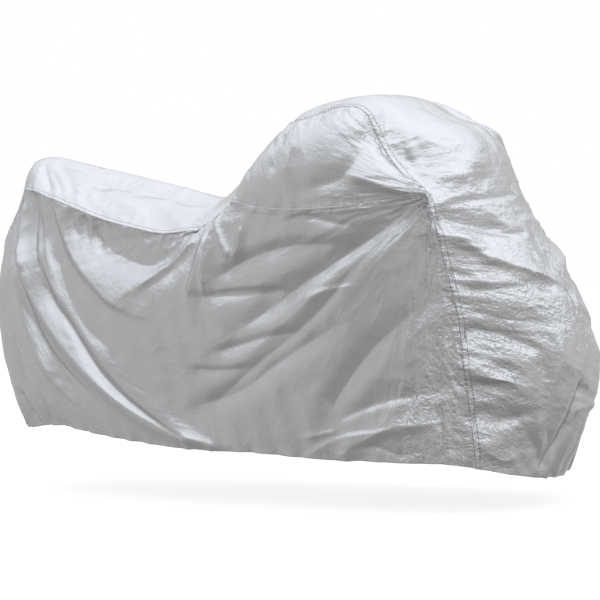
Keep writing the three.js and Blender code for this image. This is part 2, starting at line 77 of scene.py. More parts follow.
Section = namedtuple("Section", "right crest left crown")
FRONT_RISE = [
    Section((1912, -250, 134), (2050, 0, 88), (1955, 240, 100), 2.0),
    Section((1904, -254, 252), (2120, 0, 240), (1990, 265, 235), 2.0),
    Section((1892, -260, 405), (2155, 5, 395), (2020, 278, 390), 2.1),
    Section((1881, -264, 552), (2130, 10, 540), (2010, 280, 535), 2.1),
    Section((1857, -267, 680), (2065, 15, 665), (1968, 278, 655), 2.2),
    Section((1833, -272, 790), (1985, 15, 785), (1895, 285, 785), 2.2),
    Section((1799, -275, 924), (1905, 10, 915), (1817, 292, 920), 2.2),
]
HUMP = [
    Section((1799, -275, 924), (1905, 10, 915), (1817, 292, 920), 2.2),
    Section((1757, -257, 953), (1885, 5, 985), (1797, 288, 985), 2.2),
    Section((1698, -255, 1008), (1850, 5, 1060), (1766, 284, 1060), 2.2),
    Section((1655, -252, 1065), (1800, 5, 1118), (1743, 280, 1115), 2.2),
    Section((1617, -250, 1132), (1735, 0, 1150), (1710, 275, 1138), 2.2),
    Section((1594, -248, 1170), (1660, 0, 1190), (1612, 270, 1177), 2.4),
    Section((1560, -247, 1191), (1595, 0, 1226), (1530, 262, 1222), 2.4),
    Section((1510, -247, 1197), (1530, 0, 1242), (1470, 262, 1228), 2.4),
    Section((1393, -245, 1178), (1420, 0, 1241), (1390, 260, 1215), 2.2),
    Section((1325, -238, 1163), (1320, 0, 1222), (1320, 252, 1195), 2.0),
    Section((1255, -212, 1130), (1230, 0, 1185), (1240, 232, 1155), 2.0),
    Section((1190, -190, 1080), (1140, 0, 1125), (1170, 208, 1100), 2.0),
    Section((1130, -185, 1015), (1065, 0, 1060), (1110, 198, 1030), 2.0),
    Section((1085, -195, 950), (1000, 0, 1003), (1070, 205, 960), 1.9),
]
SEAT = [
    Section((1085, -195, 950), (1000, 0, 1003), (1070, 205, 960), 1.9),
    Section((1030, -220, 903), (955, 0, 968), (1020, 225, 910), 1.8),
    Section((975, -243, 862), (905, 0, 957), (970, 243, 868), 1.7),
    Section((900, -247, 853), (820, 0, 976), (895, 247, 857), 1.6),
    Section((805, -248, 852), (730, 0, 1000), (800, 248, 857), 1.6),
    Section((686, -245, 876), (610, 0, 1030), (682, 243, 880), 1.6),
    Section((563, -235, 907), (480, 0, 1062), (560, 232, 912), 1.6),
    Section((417, -218, 953), (340, 0, 1096), (415, 216, 955), 1.7),
    Section((320, -200, 985), (250, 0, 1118), (318, 200, 987), 1.8),
    Section((226, -177, 1012), (170, 0, 1132), (224, 176, 1012), 2.0),
]
REAR_FALL = [
    Section((226, -177, 1012), (170, 0, 1132), (224, 176, 1012), 2.0),
    Section((150, -133, 1010), (106, 0, 1120), (150, 135, 1008), 1.6),
    Section((123, -125, 969), (62, 0, 1065), (122, 128, 966), 1.3),
    Section((74, -125, 905), (22, 0, 960), (75, 128, 902), 1.8),
    Section((42, -125, 845), (4, 0, 850), (44, 128, 843), 2.2),
    Section((15, -110, 735), (-10, 0, 735), (17, 112, 733), 2.2),
    Section((12, -110, 600), (-12, 0, 600), (14, 112, 600), 2.2),
    Section((22, -112, 450), (-4, 0, 450), (22, 114, 450), 2.2),
    Section((45, -116, 325), (15, 0, 325), (44, 116, 325), 2.2),
    Section((105, -120, 215), (80, 0, 205), (104, 120, 212), 2.0),
]
SIDE_SEAM = {
    "right": [
        (1085, -195, 950), (1118, -275, 946), (1200, -318, 924), (1320, -345, 908), (1430, -355, 903),
        (1560, -348, 905), (1680, -318, 914), (1750, -292, 921), (1799, -275, 924),
    ],
    "left": [
        (1070, 205, 960), (1105, 278, 950), (1200, 320, 930), (1320, 350, 912), (1430, 362, 905),
        (1560, 360, 905), (1680, 338, 910), (1765, 312, 917), (1817, 292, 920),
    ],
}
BROW = {
    "right": [
        (1085, -195, 950), (1150, -290, 1020), (1280, -345, 1100), (1430, -365, 1130),
        (1560, -360, 1120), (1680, -335, 1030), (1799, -275, 924),
    ],
    "left": [
        (1070, 205, 960), (1140, 292, 1030), (1280, 358, 1190), (1430, 400, 1272),
        (1580, 398, 1262), (1740, 362, 1110), (1817, 292, 920),
    ],
}
SKIRT_LINES = {
    "right": {
        "hem": [
            (175, -170, 219), (312, -220, 232), (550, -260, 204), (722, -280, 187), (892, -290, 173),
            (1157, -300, 168), (1479, -300, 152), (1717, -290, 148), (1831, -275, 147),
        ],
        "belly": [
            (60, -180, 470), (170, -222, 475), (380, -262, 465), (620, -292, 455), (900, -308, 450),
            (1200, -322, 450), (1480, -325, 440), (1700, -308, 430), (1810, -285, 425),
        ],
        "shoulder": [
            (75, -180, 745), (180, -212, 750), (400, -250, 725), (650, -280, 700), (900, -298, 690),
            (1180, -322, 705), (1450, -345, 705), (1660, -322, 700), (1765, -292, 700),
        ],
    },
    "left": {
        "hem": [
            (175, 170, 215), (312, 220, 222), (550, 262, 196), (722, 282, 182), (892, 292, 170),
            (1157, 302, 162), (1479, 304, 148), (1717, 300, 135), (1855, 280, 118),
        ],
        "belly": [
            (60, 182, 465), (170, 224, 470), (380, 264, 460), (620, 294, 452), (900, 310, 445),
            (1200, 326, 445), (1480, 336, 435), (1740, 342, 425), (1930, 332, 415), (2008, 304, 410),
        ],
        "shoulder": [
            (75, 182, 742), (180, 214, 745), (400, 252, 722), (650, 282, 700), (900, 300, 690),
            (1180, 325, 702), (1450, 354, 702), (1690, 356, 700), (1860, 342, 700), (1940, 312, 700),
        ],
    },
}

# Folds, drawn on the side in x and z, on the front in y and z and on the top in x and y. A fold
# stands out by lift and fades at left and right of its line's direction over those widths.
Fold = namedtuple("Fold", "name lift left right line")
FOLDS = {
    "right": [
        Fold("rear sweep", 20, 32, 32,
             [(190, 800), (230, 700), (345, 560), (495, 425), (665, 310), (880, 210), (1010, 180)]),
        Fold("sweep groove", -17, 20, 20,
             [(285, 760), (340, 650), (430, 560), (580, 395), (760, 275), (890, 215)]),
        Fold("upper sweep", 14, 44, 20,
             [(275, 790), (370, 680), (455, 590), (555, 485), (700, 345), (910, 220), (1060, 185)]),
        Fold("band above sweep", -11, 40, 34, [(330, 860), (415, 680), (500, 570), (640, 470)]),
        Fold("tail band", 11, 22, 30, [(145, 760), (165, 700), (215, 555), (290, 450), (350, 365)]),
        Fold("tail groove", -9, 20, 24, [(205, 700), (245, 600), (305, 500), (375, 410), (470, 325)]),
        Fold("seat drape", 18, 60, 18,
             [(345, 955), (370, 900), (435, 800), (545, 700), (620, 645), (740, 595)]),
        Fold("seat hollow", -18, 60, 60, [(480, 890), (605, 805), (780, 755), (920, 795)]),
        Fold("pull up", 11, 40, 14, [(725, 672), (865, 755), (975, 835)]),
        Fold("pull left", 12, 14, 40, [(950, 640), (985, 760), (1000, 850)]),
        Fold("pull right", 13, 12, 30, [(1012, 660), (1030, 790), (1050, 880)]),
        Fold("corner valley", -22, 36, 46,
             [(1780, 912), (1675, 830), (1515, 740), (1315, 635), (1135, 540)]),
        Fold("corner ridge", 6, 26, 34, [(1745, 870), (1590, 735), (1420, 625), (1130, 440)]),
        Fold("lower corner valley", -8, 18, 26,
             [(1735, 855), (1560, 700), (1445, 590), (1225, 450), (1040, 325)]),
        Fold("low valley", -12, 36, 30, [(1505, 550), (1300, 450), (1135, 355), (970, 310)]),
        Fold("front valley", -14, 44, 36, [(1810, 630), (1610, 475), (1505, 360), (1445, 280)]),
        Fold("upper side valley", -15, 24, 44,
             [(1050, 700), (1150, 745), (1270, 780), (1425, 795), (1535, 790)]),
        Fold("middle side valley", -10, 16, 34, [(965, 650), (1120, 650), (1315, 655)]),
        Fold("lower side valley", -13, 18, 32, [(1040, 475), (1150, 500), (1250, 522), (1365, 535)]),
        Fold("small side valley", -8, 14, 26, [(950, 425), (1050, 420), (1190, 430)]),
        Fold("hem crease", -10, 34, 14, [(1480, 270), (1640, 325), (1820, 355)]),
        Fold("hem flare", 14, 40, 20, [(1475, 160), (1555, 200), (1675, 255), (1790, 265)]),
        Fold("brow crease", 13, 42, 16, [(1560, 1000), (1630, 975), (1690, 950), (1780, 927)]),
        Fold("brow valley", -10, 30, 30, [(1600, 1140), (1612, 1065), (1560, 990), (1420, 960)]),
    ],
    "left": [
        Fold("rear sweep", 18, 40, 20,
             [(210, 720), (330, 560), (480, 430), (680, 320), (930, 220), (1080, 180)]),
        Fold("sweep groove", -16, 24, 24, [(310, 720), (430, 570), (590, 420), (790, 300), (980, 230)]),
        Fold("tail band", 10, 26, 26, [(150, 700), (225, 540), (310, 420)]),
        Fold("seat drape", 15, 50, 22, [(390, 930), (430, 830), (580, 690), (780, 610)]),
        Fold("seat hollow", -18, 60, 60, [(500, 890), (650, 800), (800, 770), (930, 800)]),
        Fold("pull right", 13, 20, 30, [(990, 650), (1010, 790), (1040, 890)]),
        Fold("corner valley", -20, 36, 44,
             [(1790, 905), (1660, 815), (1490, 725), (1290, 630), (1120, 560)]),
        Fold("lower corner valley", -15, 22, 30, [(1745, 840), (1570, 690), (1400, 560), (1190, 420)]),
        Fold("front valley", -14, 40, 44, [(1880, 620), (1700, 500), (1560, 380), (1480, 280)]),
        Fold("upper side valley", -14, 30, 44, [(1080, 690), (1260, 750), (1470, 780)]),
        Fold("lower side valley", -12, 20, 34, [(1010, 450), (1160, 480), (1340, 500)]),
        Fold("hem flare", 12, 38, 24, [(1500, 165), (1610, 215), (1780, 260)]),
        Fold("brow crease", 10, 36, 20, [(1540, 1010), (1640, 975), (1780, 930)]),
    ],
    "front": [
        Fold("nose ridge", 17, 30, 16,
             [(-262, 800), (-225, 790), (-195, 745), (-145, 710), (-75, 680), (20, 640)]),
        Fold("nose valley", -13, 30, 26, [(-265, 880), (-225, 845), (-160, 830), (-90, 820)]),
        Fold("under nose", -9, 20, 26, [(-255, 640), (-185, 645), (-90, 650), (-10, 648)]),
        Fold("upper patch ridge", 8, 22, 18, [(-245, 680), (-200, 665), (-100, 655)]),
        Fold("middle valley", -12, 20, 34, [(-255, 595), (-215, 565), (-180, 555), (-115, 560)]),
        Fold("patch valley", -9, 16, 30, [(-262, 540), (-200, 510), (-135, 455)]),
        Fold("patch ridge", 12, 30, 26, [(-262, 455), (-230, 400), (-195, 378), (-165, 335)]),
        Fold("low valley", -10, 26, 18, [(-262, 285), (-210, 260), (-165, 278)]),
        Fold("upright valley", -14, 16, 26,
             [(-140, 450), (-135, 395), (-140, 315), (-150, 235), (-130, 130)]),
        Fold("upright ridge", 12, 18, 18,
             [(-95, 510), (-95, 445), (-130, 350), (-140, 285), (-125, 170)]),
        Fold("deep fold", -20, 16, 22, [(-5, 400), (-40, 285), (-60, 220), (-88, 135)]),
        Fold("far ridge", 12, 24, 30, [(90, 520), (70, 380), (20, 240), (10, 120)]),
        Fold("far valley", -12, 26, 26, [(170, 560), (150, 400), (110, 240), (80, 110)]),
        Fold("far nose ridge", 12, 20, 34, [(280, 780), (200, 735), (120, 690)]),
    ],
    "top": [
        Fold("near seat trough", -15, 40, 36, [(380, -112), (575, -95), (735, -90), (920, -95)]),
        Fold("far seat trough", -12, 45, 45, [(430, 100), (620, 90), (860, 95)]),
        Fold("tail fold", -7, 18, 24, [(195, -80), (250, -130), (300, -185)]),
        Fold("second tail fold", -7, 18, 26, [(240, -50), (320, -110), (400, -175)]),
        Fold("brow valley", -11, 26, 30, [(1620, -180), (1670, -235), (1725, -225), (1765, -170)]),
        Fold("brow ridge", 8, 30, 30, [(1790, -240), (1835, -140), (1845, 20)]),
    ],
}
# Small creases, finer than the folds above and drawn in the same way
CREASES = {
    "right": [
        Fold("corner crease", 9, 10, 16, [(1845, 340), (1835, 225), (1830, 150)]),
        Fold("second corner crease", -8, 12, 10, [(1812, 300), (1824, 220), (1826, 150)]),
        Fold("low side crease", 6, 9, 26, [(1365, 165), (1480, 215), (1665, 245), (1790, 265)]),
        Fold("low side wrinkle", -7, 12, 12, [(1510, 180), (1600, 195), (1685, 170), (1765, 180)]),
        Fold("short low crease", 5, 8, 12, [(1370, 220), (1425, 230), (1485, 240)]),
        Fold("drape pleat", -6, 12, 12, [(415, 950), (435, 895), (465, 840)]),
        Fold("second drape pleat", -6, 12, 12, [(465, 925), (485, 880), (500, 830)]),
        Fold("third drape pleat", -6, 12, 14, [(530, 895), (540, 840), (565, 795)]),
        Fold("rear low pleat", -7, 14, 14, [(140, 345), (175, 295), (200, 250)]),
        Fold("second rear low pleat", 8, 14, 16, [(215, 395), (265, 320), (295, 245)]),
        Fold("third rear low pleat", -6, 14, 16, [(130, 550), (155, 445), (180, 350)]),
        Fold("hump streak", -6, 18, 22, [(1300, 1010), (1320, 1080), (1330, 1140)]),
        Fold("second hump streak", 6, 16, 22, [(1360, 995), (1375, 1065), (1395, 1105)]),
        Fold("under seam crease", -6, 10, 16, [(1415, 885), (1515, 860), (1580, 845)]),
        Fold("drape point", 12, 14, 22, [(1050, 900), (1090, 820), (1130, 765)]),
        Fold("second drape point", 10, 18, 12, [(1180, 865), (1160, 800), (1140, 765)]),
        Fold("side streak", -6, 10, 20, [(1055, 660), (1235, 665), (1340, 660)]),
        Fold("middle crease", 6, 8, 20, [(1385, 630), (1495, 660), (1570, 670)]),
        Fold("sweep top", 22, 36, 14, [(165, 1000), (162, 930), (168, 860), (182, 790), (205, 730)]),
        Fold("tail streak", -7, 9, 14, [(232, 985), (236, 900), (252, 820), (285, 740)]),
        Fold("second tail streak", 6, 14, 9, [(270, 975), (282, 900), (305, 820), (350, 730)]),
        Fold("sweep streak", -6, 10, 16, [(205, 640), (290, 520), (400, 420), (520, 330)]),
        Fold("low sweep streak", 6, 16, 9, [(250, 480), (350, 375), (470, 290)]),
        Fold("hem pull", 5, 12, 16, [(895, 215), (970, 200), (1035, 180)]),
    ],
    "left": [
        Fold("corner crease", 9, 12, 14, [(1890, 340), (1872, 225), (1860, 140)]),
        Fold("low side crease", 8, 10, 24, [(1395, 175), (1520, 220), (1700, 250)]),
        Fold("drape pleat", -6, 12, 12, [(430, 945), (455, 890), (480, 830)]),
        Fold("second drape pleat", -6, 12, 14, [(545, 900), (560, 840), (585, 790)]),
        Fold("rear low pleat", 8, 14, 16, [(205, 400), (250, 320), (285, 240)]),
        Fold("hump streak", -7, 18, 24, [(1320, 1000), (1345, 1080), (1360, 1150)]),
        Fold("drape point", 11, 14, 22, [(1045, 905), (1085, 820), (1125, 760)]),
        Fold("middle crease", 6, 10, 20, [(1400, 600), (1510, 640), (1600, 655)]),
    ],
    "front": [
        Fold("upper line", -7, 10, 10, [(-225, 890), (-140, 905), (65, 920)]),
        Fold("short line", -5, 7, 9, [(-125, 810), (-75, 805), (5, 805)]),
        Fold("patch top", -8, 24, 18, [(-255, 540), (-220, 525), (-195, 510), (-140, 460)]),
        Fold("patch low ridge", 10, 44, 12, [(-260, 450), (-240, 400), (-215, 385), (-185, 370)]),
        Fold("patch groove", -8, 10, 16, [(-250, 380), (-230, 370), (-205, 365)]),
        Fold("low patch top", -8, 20, 16, [(-255, 295), (-230, 290), (-205, 270), (-165, 280)]),
        Fold("low patch ridge", 12, 50, 14, [(-250, 215), (-220, 170), (-190, 150), (-160, 170)]),
        Fold("hem pleat", -8, 10, 10, [(-145, 215), (-125, 175), (-100, 130)]),
        Fold("second hem pleat", -7, 9, 10, [(-165, 195), (-155, 155), (-140, 125)]),
        Fold("third hem pleat", -8, 10, 12, [(-110, 240), (-95, 180), (-85, 110)]),
        Fold("deep fold edge", 9, 10, 14, [(55, 295), (-30, 280), (-50, 240)]),
        Fold("short crease", 5, 8, 10, [(-180, 555), (-145, 560), (-105, 560)]),
        Fold("far patch ridge", 9, 36, 14, [(100, 420), (150, 400), (210, 430)]),
    ],
    "top": [
        Fold("bowl valley", -9, 14, 22, [(1685, -210), (1710, -225), (1755, -230), (1820, -180)]),
        Fold("small pit", -4, 12, 16, [(1715, -180), (1735, -190), (1760, -175)]),
        Fold("bowl ridge", 7, 16, 16, [(1785, -225), (1835, -160), (1860, -50)]),
        Fold("tail pleat", -6, 10, 12, [(245, -100), (310, -145), (360, -185)]),
        Fold("second tail pleat", -5, 9, 12, [(205, -95), (260, -140), (310, -180)]),
        Fold("seat line", 5, 8, 12, [(560, -215), (620, -200), (685, -175)]),
        Fold("far bowl valley", -8, 16, 20, [(1720, 190), (1765, 200), (1820, 150)]),
    ],
}
DRAWN_IN = {"right": (0, 2), "left": (0, 2), "front": (1, 2), "top": (0, 1)}
FOLD_END = 0.18
END_LIFT = 0.35
FOLD_REACH = 2.7
FOLD_CREST = 0.3
CREST_WIDTH = 0.35

# Grid steps of the settling cloth, and how many fine steps the finished cloth has in each
STEPS = {"rise": 46, "seat": 48, "hump": 50, "across": 24, "gusset": 16}
FINE = 4

# Beside a corner of its edge the inside of a panel is evened out: the reach is a share of the
# rise's steps, and so are the passes, of their square
SOFT_REACH = 0.16
SOFT_PASSES = 0.016

# Lines of points close beside a seam, by their distance from it, and the cells that they spread over
SEAM_LINES = (0, 1.0, 2.2, 4, 8, 12.5, 16, 18, 20, 22.5, 27)
SEAM_CELLS = 8

# A felled seam: a raised band on one side of a groove, held by two rows of stitches
GROOVE_DEPTH = 0.45
GROOVE_WIDTH = 1.4
BAND_HEIGHT = 1.1
BAND_END = (19.0, 21.5)
STITCH_ROWS = (2.0, 18.0)
HEM_STITCHES = 19.0
ROW_SINK = 0.5
ROW_WIDTH = 0.9
# Painted shade: how much the rows of stitch holes and the groove darken the cloth's colour, standing for the
# shade that falls in them
ROW_PAINTED_SHADE = 0.7
GROOVE_PAINTED_SHADE = 0.35
FAINT_GROOVE = 0.25

# The hem's turned edge, by the way past the edge and the way inwards
HEM_TURN = ((1.0, 0.5), (1.3, 1.5), (0.8, 2.5), (-5, 3.0), (-20, 3.2))

# Fine creases follow a grain: they run round a centre or out from it, drawn in two of the axes. Each
# kind of panel has one grain behind and one before, which mix between two places along x.
Grain = namedtuple("Grain", "axes centre radius runs")
GRAINS = {
    "centre": (Grain((0, 1), (-3000, 0), 3800, "out"), Grain((1, 2), (-800, 900), 650, "out"), (1450, 1750)),
    "skirt": (Grain((0, 2), (1100, 1100), 900, "round"), Grain((0, 2), (1830, 930), 520, "out"), (850, 1250)),
    "gusset": (Grain((0, 2), (1650, 350), 760, "out"), Grain((0, 2), (1830, 930), 520, "out"), (1350, 1600)),
}
CREASE_STRETCH = 1.9
GRAIN_STRETCH = 5.0
SIDES_APART = 1000
CREASES_START = 14

# The crumpled facets' sizes, each with its seed, its share and the power of the creased share
FACETS = ((70, 41, 1.0, 1), (36, 51, 0.6, 1), (20, 61, 0.4, 1.5))
FACET_WARP_SIZE = 1.7
FACET_WARP = 0.7
SEAM_CREASED = 0.25
SEAM_CREASED_REACH = 40

# Places by their centre and reach, and how strongly the cloth is creased, puckered or gathered there.
# All lie on the right and are mirrored to the left.
Spot = namedtuple("Spot", "centre reach strength")
CREASED = [
    Spot((1335, -235, 1150), 95, 0.9),
    Spot((1760, -120, 1060), 150, 0.45),
    Spot((1900, -60, 840), 160, 0.4),
    Spot((500, -150, 1000), 260, 0.3),
    Spot((1480, -250, 1190), 90, 0.7),
    Spot((1610, -255, 1130), 80, 0.5),
    Spot((1850, -240, 880), 130, 0.45),
    Spot((1880, -262, 640), 150, 0.5),
    Spot((1930, -220, 450), 170, 0.85),
    Spot((1910, -240, 230), 170, 1.0),
    Spot((1790, -280, 230), 130, 0.9),
    Spot((2080, -60, 640), 140, 0.8),
    Spot((2120, 60, 420), 180, 0.6),
    Spot((960, -235, 870), 100, 0.5),
    Spot((1120, -260, 900), 90, 0.45),
    Spot((90, -120, 250), 120, 0.5),
]
CREASED_EVERYWHERE = 0.2
PUCKERED = [
    Spot((1870, -265, 500), 330, 0.8),
    Spot((1820, -270, 880), 110, 0.5),
    Spot((60, -125, 850), 220, 0.6),
]
PUCKERED_EVERYWHERE = 0.35
GATHERED = [
    Spot((90, 0, 208), 260, 1.0),
    Spot((2050, 20, 90), 230, 1.0),
]
GATHERED_EVERYWHERE = 0.1

Cut = namedtuple("Cut", "spare bend gravity crease pucker gather")
Panel = namedtuple("Panel", "name grid turned")

# Each panel's flat cut in metres: width, length and area
Flat = namedtuple("Flat", "width length area")


def curve_through(points, samples=64):
    """A dense centripetal Catmull-Rom curve through the points."""
    p = np.asarray(points, float)
    p = np.vstack([2 * p[0] - p[1], p, 2 * p[-1] - p[-2]])
    t = np.linspace(0, 1, samples, endpoint=False)[:, None]
    pieces = []
    for a, b, c, d in zip(p, p[1:], p[2:], p[3:]):
        before, here, after = (math.sqrt(np.linalg.norm(v)) for v in (b - a, c - b, d - c))
        first = ((b - a) / before - (c - a) / (before + here) + (c - b) / here) * here
        last = ((c - b) / here - (d - b) / (here + after) + (d - c) / after) * here
        cubic = 2 * (b - c) + first + last
        square = 3 * (c - b) - 2 * first - last
        pieces.append(b + first * t + square * t**2 + cubic * t**3)
    return np.vstack([*pieces, p[-2:-1]])


def lengths_along(points):
    """The distance travelled to each point of a line."""
    steps = np.linalg.norm(np.diff(points, axis=0), axis=1)
    return np.concatenate([[0], np.cumsum(steps)])


def even_points(points, steps, before=(), after=(), samples=64):
    """Points at even distances on the curve through the given ones. The points before and after them
    only say how the curve runs on past its ends."""
    curve = curve_through([*before, *points, *after], samples)
    start = len(before) * samples
    curve = curve[start : start + (len(points) - 1) * samples + 1]
    along = lengths_along(curve)
    at = np.linspace(0, along[-1], steps + 1)
    return np.stack([np.interp(at, along, curve[:, axis]) for axis in range(3)], axis=1)


def column(rows, side):
    return [getattr(row, side) for row in rows]


def band(rows, steps, across, before=(), after=()):
    """One stretch of the centre panel: a row of points from seam to seam at each station. The crest
    runs on smoothly into the stretches before and after it."""
    right, left = (even_points(column(rows, side), steps) for side in ("right", "left"))
    crest = even_points(column(rows, "crest"), steps, column(before[-2:-1], "crest"),
                        column(after[1:2], "crest"))
    crown = np.interp(np.linspace(0, len(rows) - 1, steps + 1), range(len(rows)), column(rows, "crown"))
    side = np.linspace(-1, 1, across + 1)
    out = np.broadcast_to(abs(side), (steps + 1, across + 1))
    fall = out ** crown[:, None]
    seam = np.where(side[None, :, None] < 0, right[:, None], left[:, None])
    return crest[:, None] + (seam - crest[:, None]) * np.stack([fall, out, fall], axis=-1)


def softened(grid, corner, inside, rise):
    """Evens out the points beside the corner row of a grid. inside says how far each column lies from
    the edges that keep their shape."""
    reach = SOFT_REACH * rise
    near = np.arange(max(1, corner - round(3 * reach)), min(len(grid) - 1, corner + round(3 * reach)))
    along = 0.5 * np.exp(-(((near - corner) / reach) ** 2))
    share = along[:, None] * inside(np.linspace(0, 1, grid.shape[1]))
    grid = grid.copy()
    for _ in range(math.ceil(SOFT_PASSES * rise**2)):
        grid[near] += share[..., None] * ((grid[near - 1] + grid[near + 1]) / 2 - grid[near])
    return grid


def centre_grid(steps):
    rise, hump, seat, across = (steps[name] for name in ("rise", "hump", "seat", "across"))
    grid = np.vstack([
        band(FRONT_RISE, rise, across, after=HUMP),
        band(HUMP, hump, across, FRONT_RISE, SEAT)[1:],
        band(SEAT, seat, across, HUMP, REAR_FALL)[1:],
        band(REAR_FALL, rise, across, SEAT)[1:],
    ])
    for corner in (rise, rise + hump):
        grid = softened(grid, corner, lambda v: 1 - (2 * v - 1) ** 2, rise)
    return grid


def skirt_grid(side, steps):
    """Columns from the rear seam to the front seam, each from the hem to the top edge."""
    rise = steps["rise"]
    rear = even_points(column(REAR_FALL, side), rise)[::-1]
    front = even_points(column(FRONT_RISE, side), rise)
    seat = even_points(column(SEAT, side), steps["seat"])[::-1]
    top = np.vstack([seat, even_points(SIDE_SEAM[side], steps["hump"])[1:]])
    columns = len(top) - 1

    def line(name, level):
        ends = [seam[round(level * rise)] for seam in (rear, front)]
        return even_points([ends[0], *SKIRT_LINES[side][name], ends[1]], columns)

    knots = (0, BELLY_LEVEL, SHOULDER_LEVEL, 1)
    lines = (line("hem", 0), line("belly", BELLY_LEVEL), line("shoulder", SHOULDER_LEVEL), top)
    level = np.linspace(0, 1, rise + 1)
    grid = np.zeros((columns + 1, rise + 1, 3))
    for knot, points in zip(knots, lines):
        weight = np.prod([(level - other) / (knot - other) for other in knots if other != knot], axis=0)
        grid += points[:, None] * weight[None, :, None]
    along = np.linspace(0, 1, columns + 1)[:, None, None]
    grid = grid + (rear - grid[0]) * (1 - along) ** SEAM_HOLD + (front - grid[-1]) * along**SEAM_HOLD
    return softened(grid, steps["seat"], lambda level: 1 - level**6, rise)


def gusset_grid(side, steps):
    """Columns from the back of the hump to its front corner, a lens closed at both ends."""
    low = even_points(SIDE_SEAM[side], steps["hump"])[:, None]
    brow = even_points(BROW[side], steps["hump"])[:, None]
    top = even_points(column(HUMP, side), steps["hump"])[::-1][:, None]
    v = np.linspace(0, 1, steps["gusset"] + 1)[None, :, None]
    return low * (1 - v) ** 2 + brow * 2 * v * (1 - v) + top * v**2


def cover_panels(times):
    """The five panels before they are folded. turned says that a grid's rows and columns face inwards."""
    steps = {name: count * times for name, count in STEPS.items()}
    return [
        Panel("centre_panel", centre_grid(steps), True),
        Panel("skirt_right", skirt_grid("right", steps), False),
        Panel("skirt_left", skirt_grid("left", steps), True),
        Panel("gusset_right", gusset_grid("right", steps), False),
        Panel("gusset_left", gusset_grid("left", steps), True),
    ]


def smoothstep(value, low, high):
    t = np.clip((value - low) / (high - low), 0, 1)
    return t * t * (3 - 2 * t)


def unit(vectors):
    return vectors / np.maximum(np.linalg.norm(vectors, axis=-1, keepdims=True), 1e-12)


class Cloth:
    """All the panels' points in one list, welded where the panels share a seam."""

    def __init__(self, panels):
        self.panels = panels
        loose = np.vstack([panel.grid.reshape(-1, 3) for panel in panels])
        _, first, ids = np.unique(np.round(loose, 2), axis=0, return_index=True, return_inverse=True)
        self.points = loose[first].copy()
        ids = ids.reshape(-1)
        self.ids = []
        start = 0
        for panel in panels:
            rows, columns = panel.grid.shape[:2]
            self.ids.append(ids[start : start + rows * columns].reshape(rows, columns))
            start += rows * columns

    def normals(self):
        total = np.zeros_like(self.points)
        for ids, panel in zip(self.ids, self.panels):
            quads = grid_quads(ids, panel.turned)
            corner = self.points[quads]
            face = np.cross(corner[:, 2] - corner[:, 0], corner[:, 3] - corner[:, 1])
            for k in range(4):
                np.add.at(total, quads[:, k], face)
        return unit(total)


def grid_quads(ids, turned):
    """The four corners of each cell of a grid of point numbers."""
    corners = [ids[:-1, :-1], ids[1:, :-1], ids[1:, 1:], ids[:-1, 1:]]
    if turned:
        corners.reverse()
    return np.stack([corner.ravel() for corner in corners], axis=1)


def whole_faces(quads):
    """The quads as faces, without corners that lie on each other."""
    faces = (list(dict.fromkeys(quad)) for quad in quads.tolist())
    return [face for face in faces if len(face) > 2]


def nearest_on(line, u, v):
    """Each place's distance to a line, on which side of it it lies, and how far along it."""
    best = np.full(len(u), np.inf)
    side = np.zeros(len(u))
    place = np.zeros(len(u))
    line = np.asarray(line, float)
    for i, (start, end) in enumerate(zip(line, line[1:])):
        du, dv = end - start
        share = np.clip(((u - start[0]) * du + (v - start[1]) * dv) / (du * du + dv * dv), 0, 1)
        away = np.hypot(u - start[0] - share * du, v - start[1] - share * dv)
        nearer = away < best
        best = np.where(nearer, away, best)
        side = np.where(nearer, du * (v - start[1]) - dv * (u - start[0]), side)
        place = np.where(nearer, (i + share) / (len(line) - 1), place)
    return best, side, place


def flat_curve(line):
    """A smooth line through the points of a fold."""
    return curve_through([(*point, 0) for point in line], samples=8)[:, :2]


def facing(group, points, normals):
    """How squarely the cloth faces the way that a group of folds is drawn."""
    if group == "right":
        return smoothstep(-points[:, 1], 90, 170)
    if group == "left":
        return smoothstep(points[:, 1], 90, 170)
    if group == "front":
        return smoothstep(normals[:, 0], 0.1, 0.4) * (points[:, 0] > TOP_SUPPORT[0])
    return smoothstep(normals[:, 2], 0.15, 0.45)


def fold_lift(points, normals):
    """How far the folds lift each point of the cloth along its normal."""
    lift = np.zeros(len(points))
    for group, folds in FOLDS.items():
        share = facing(group, points, normals)
        place = points[:, DRAWN_IN[group]]
        for fold in folds + CREASES[group]:
            line = flat_curve(fold.line)
            reach = FOLD_REACH * max(fold.left, fold.right)
            inside = (place > line.min(axis=0) - reach) & (place < line.max(axis=0) + reach)
            near = np.nonzero(inside.all(axis=1) & (share > 0))[0]
            away, side, along = nearest_on(line, *place[near].T)
            wide = np.where(side > 0, fold.left, fold.right)
            ends = smoothstep(np.minimum(along, 1 - along), 0, FOLD_END)
            rise = END_LIFT + (1 - END_LIFT) * ends
            round_part = (1 - FOLD_CREST) * np.exp(-((away / wide) ** 2))
            sharp_part = FOLD_CREST * np.exp(-away / (CREST_WIDTH * wide))
            lift[near] += share[near] * fold.lift * rise * (round_part + sharp_part)
    return lift


def folded_cloth(times):
    cloth = Cloth(cover_panels(times))
    normals = cloth.normals()
    cloth.points += normals * fold_lift(cloth.points, normals)[:, None]
    return cloth


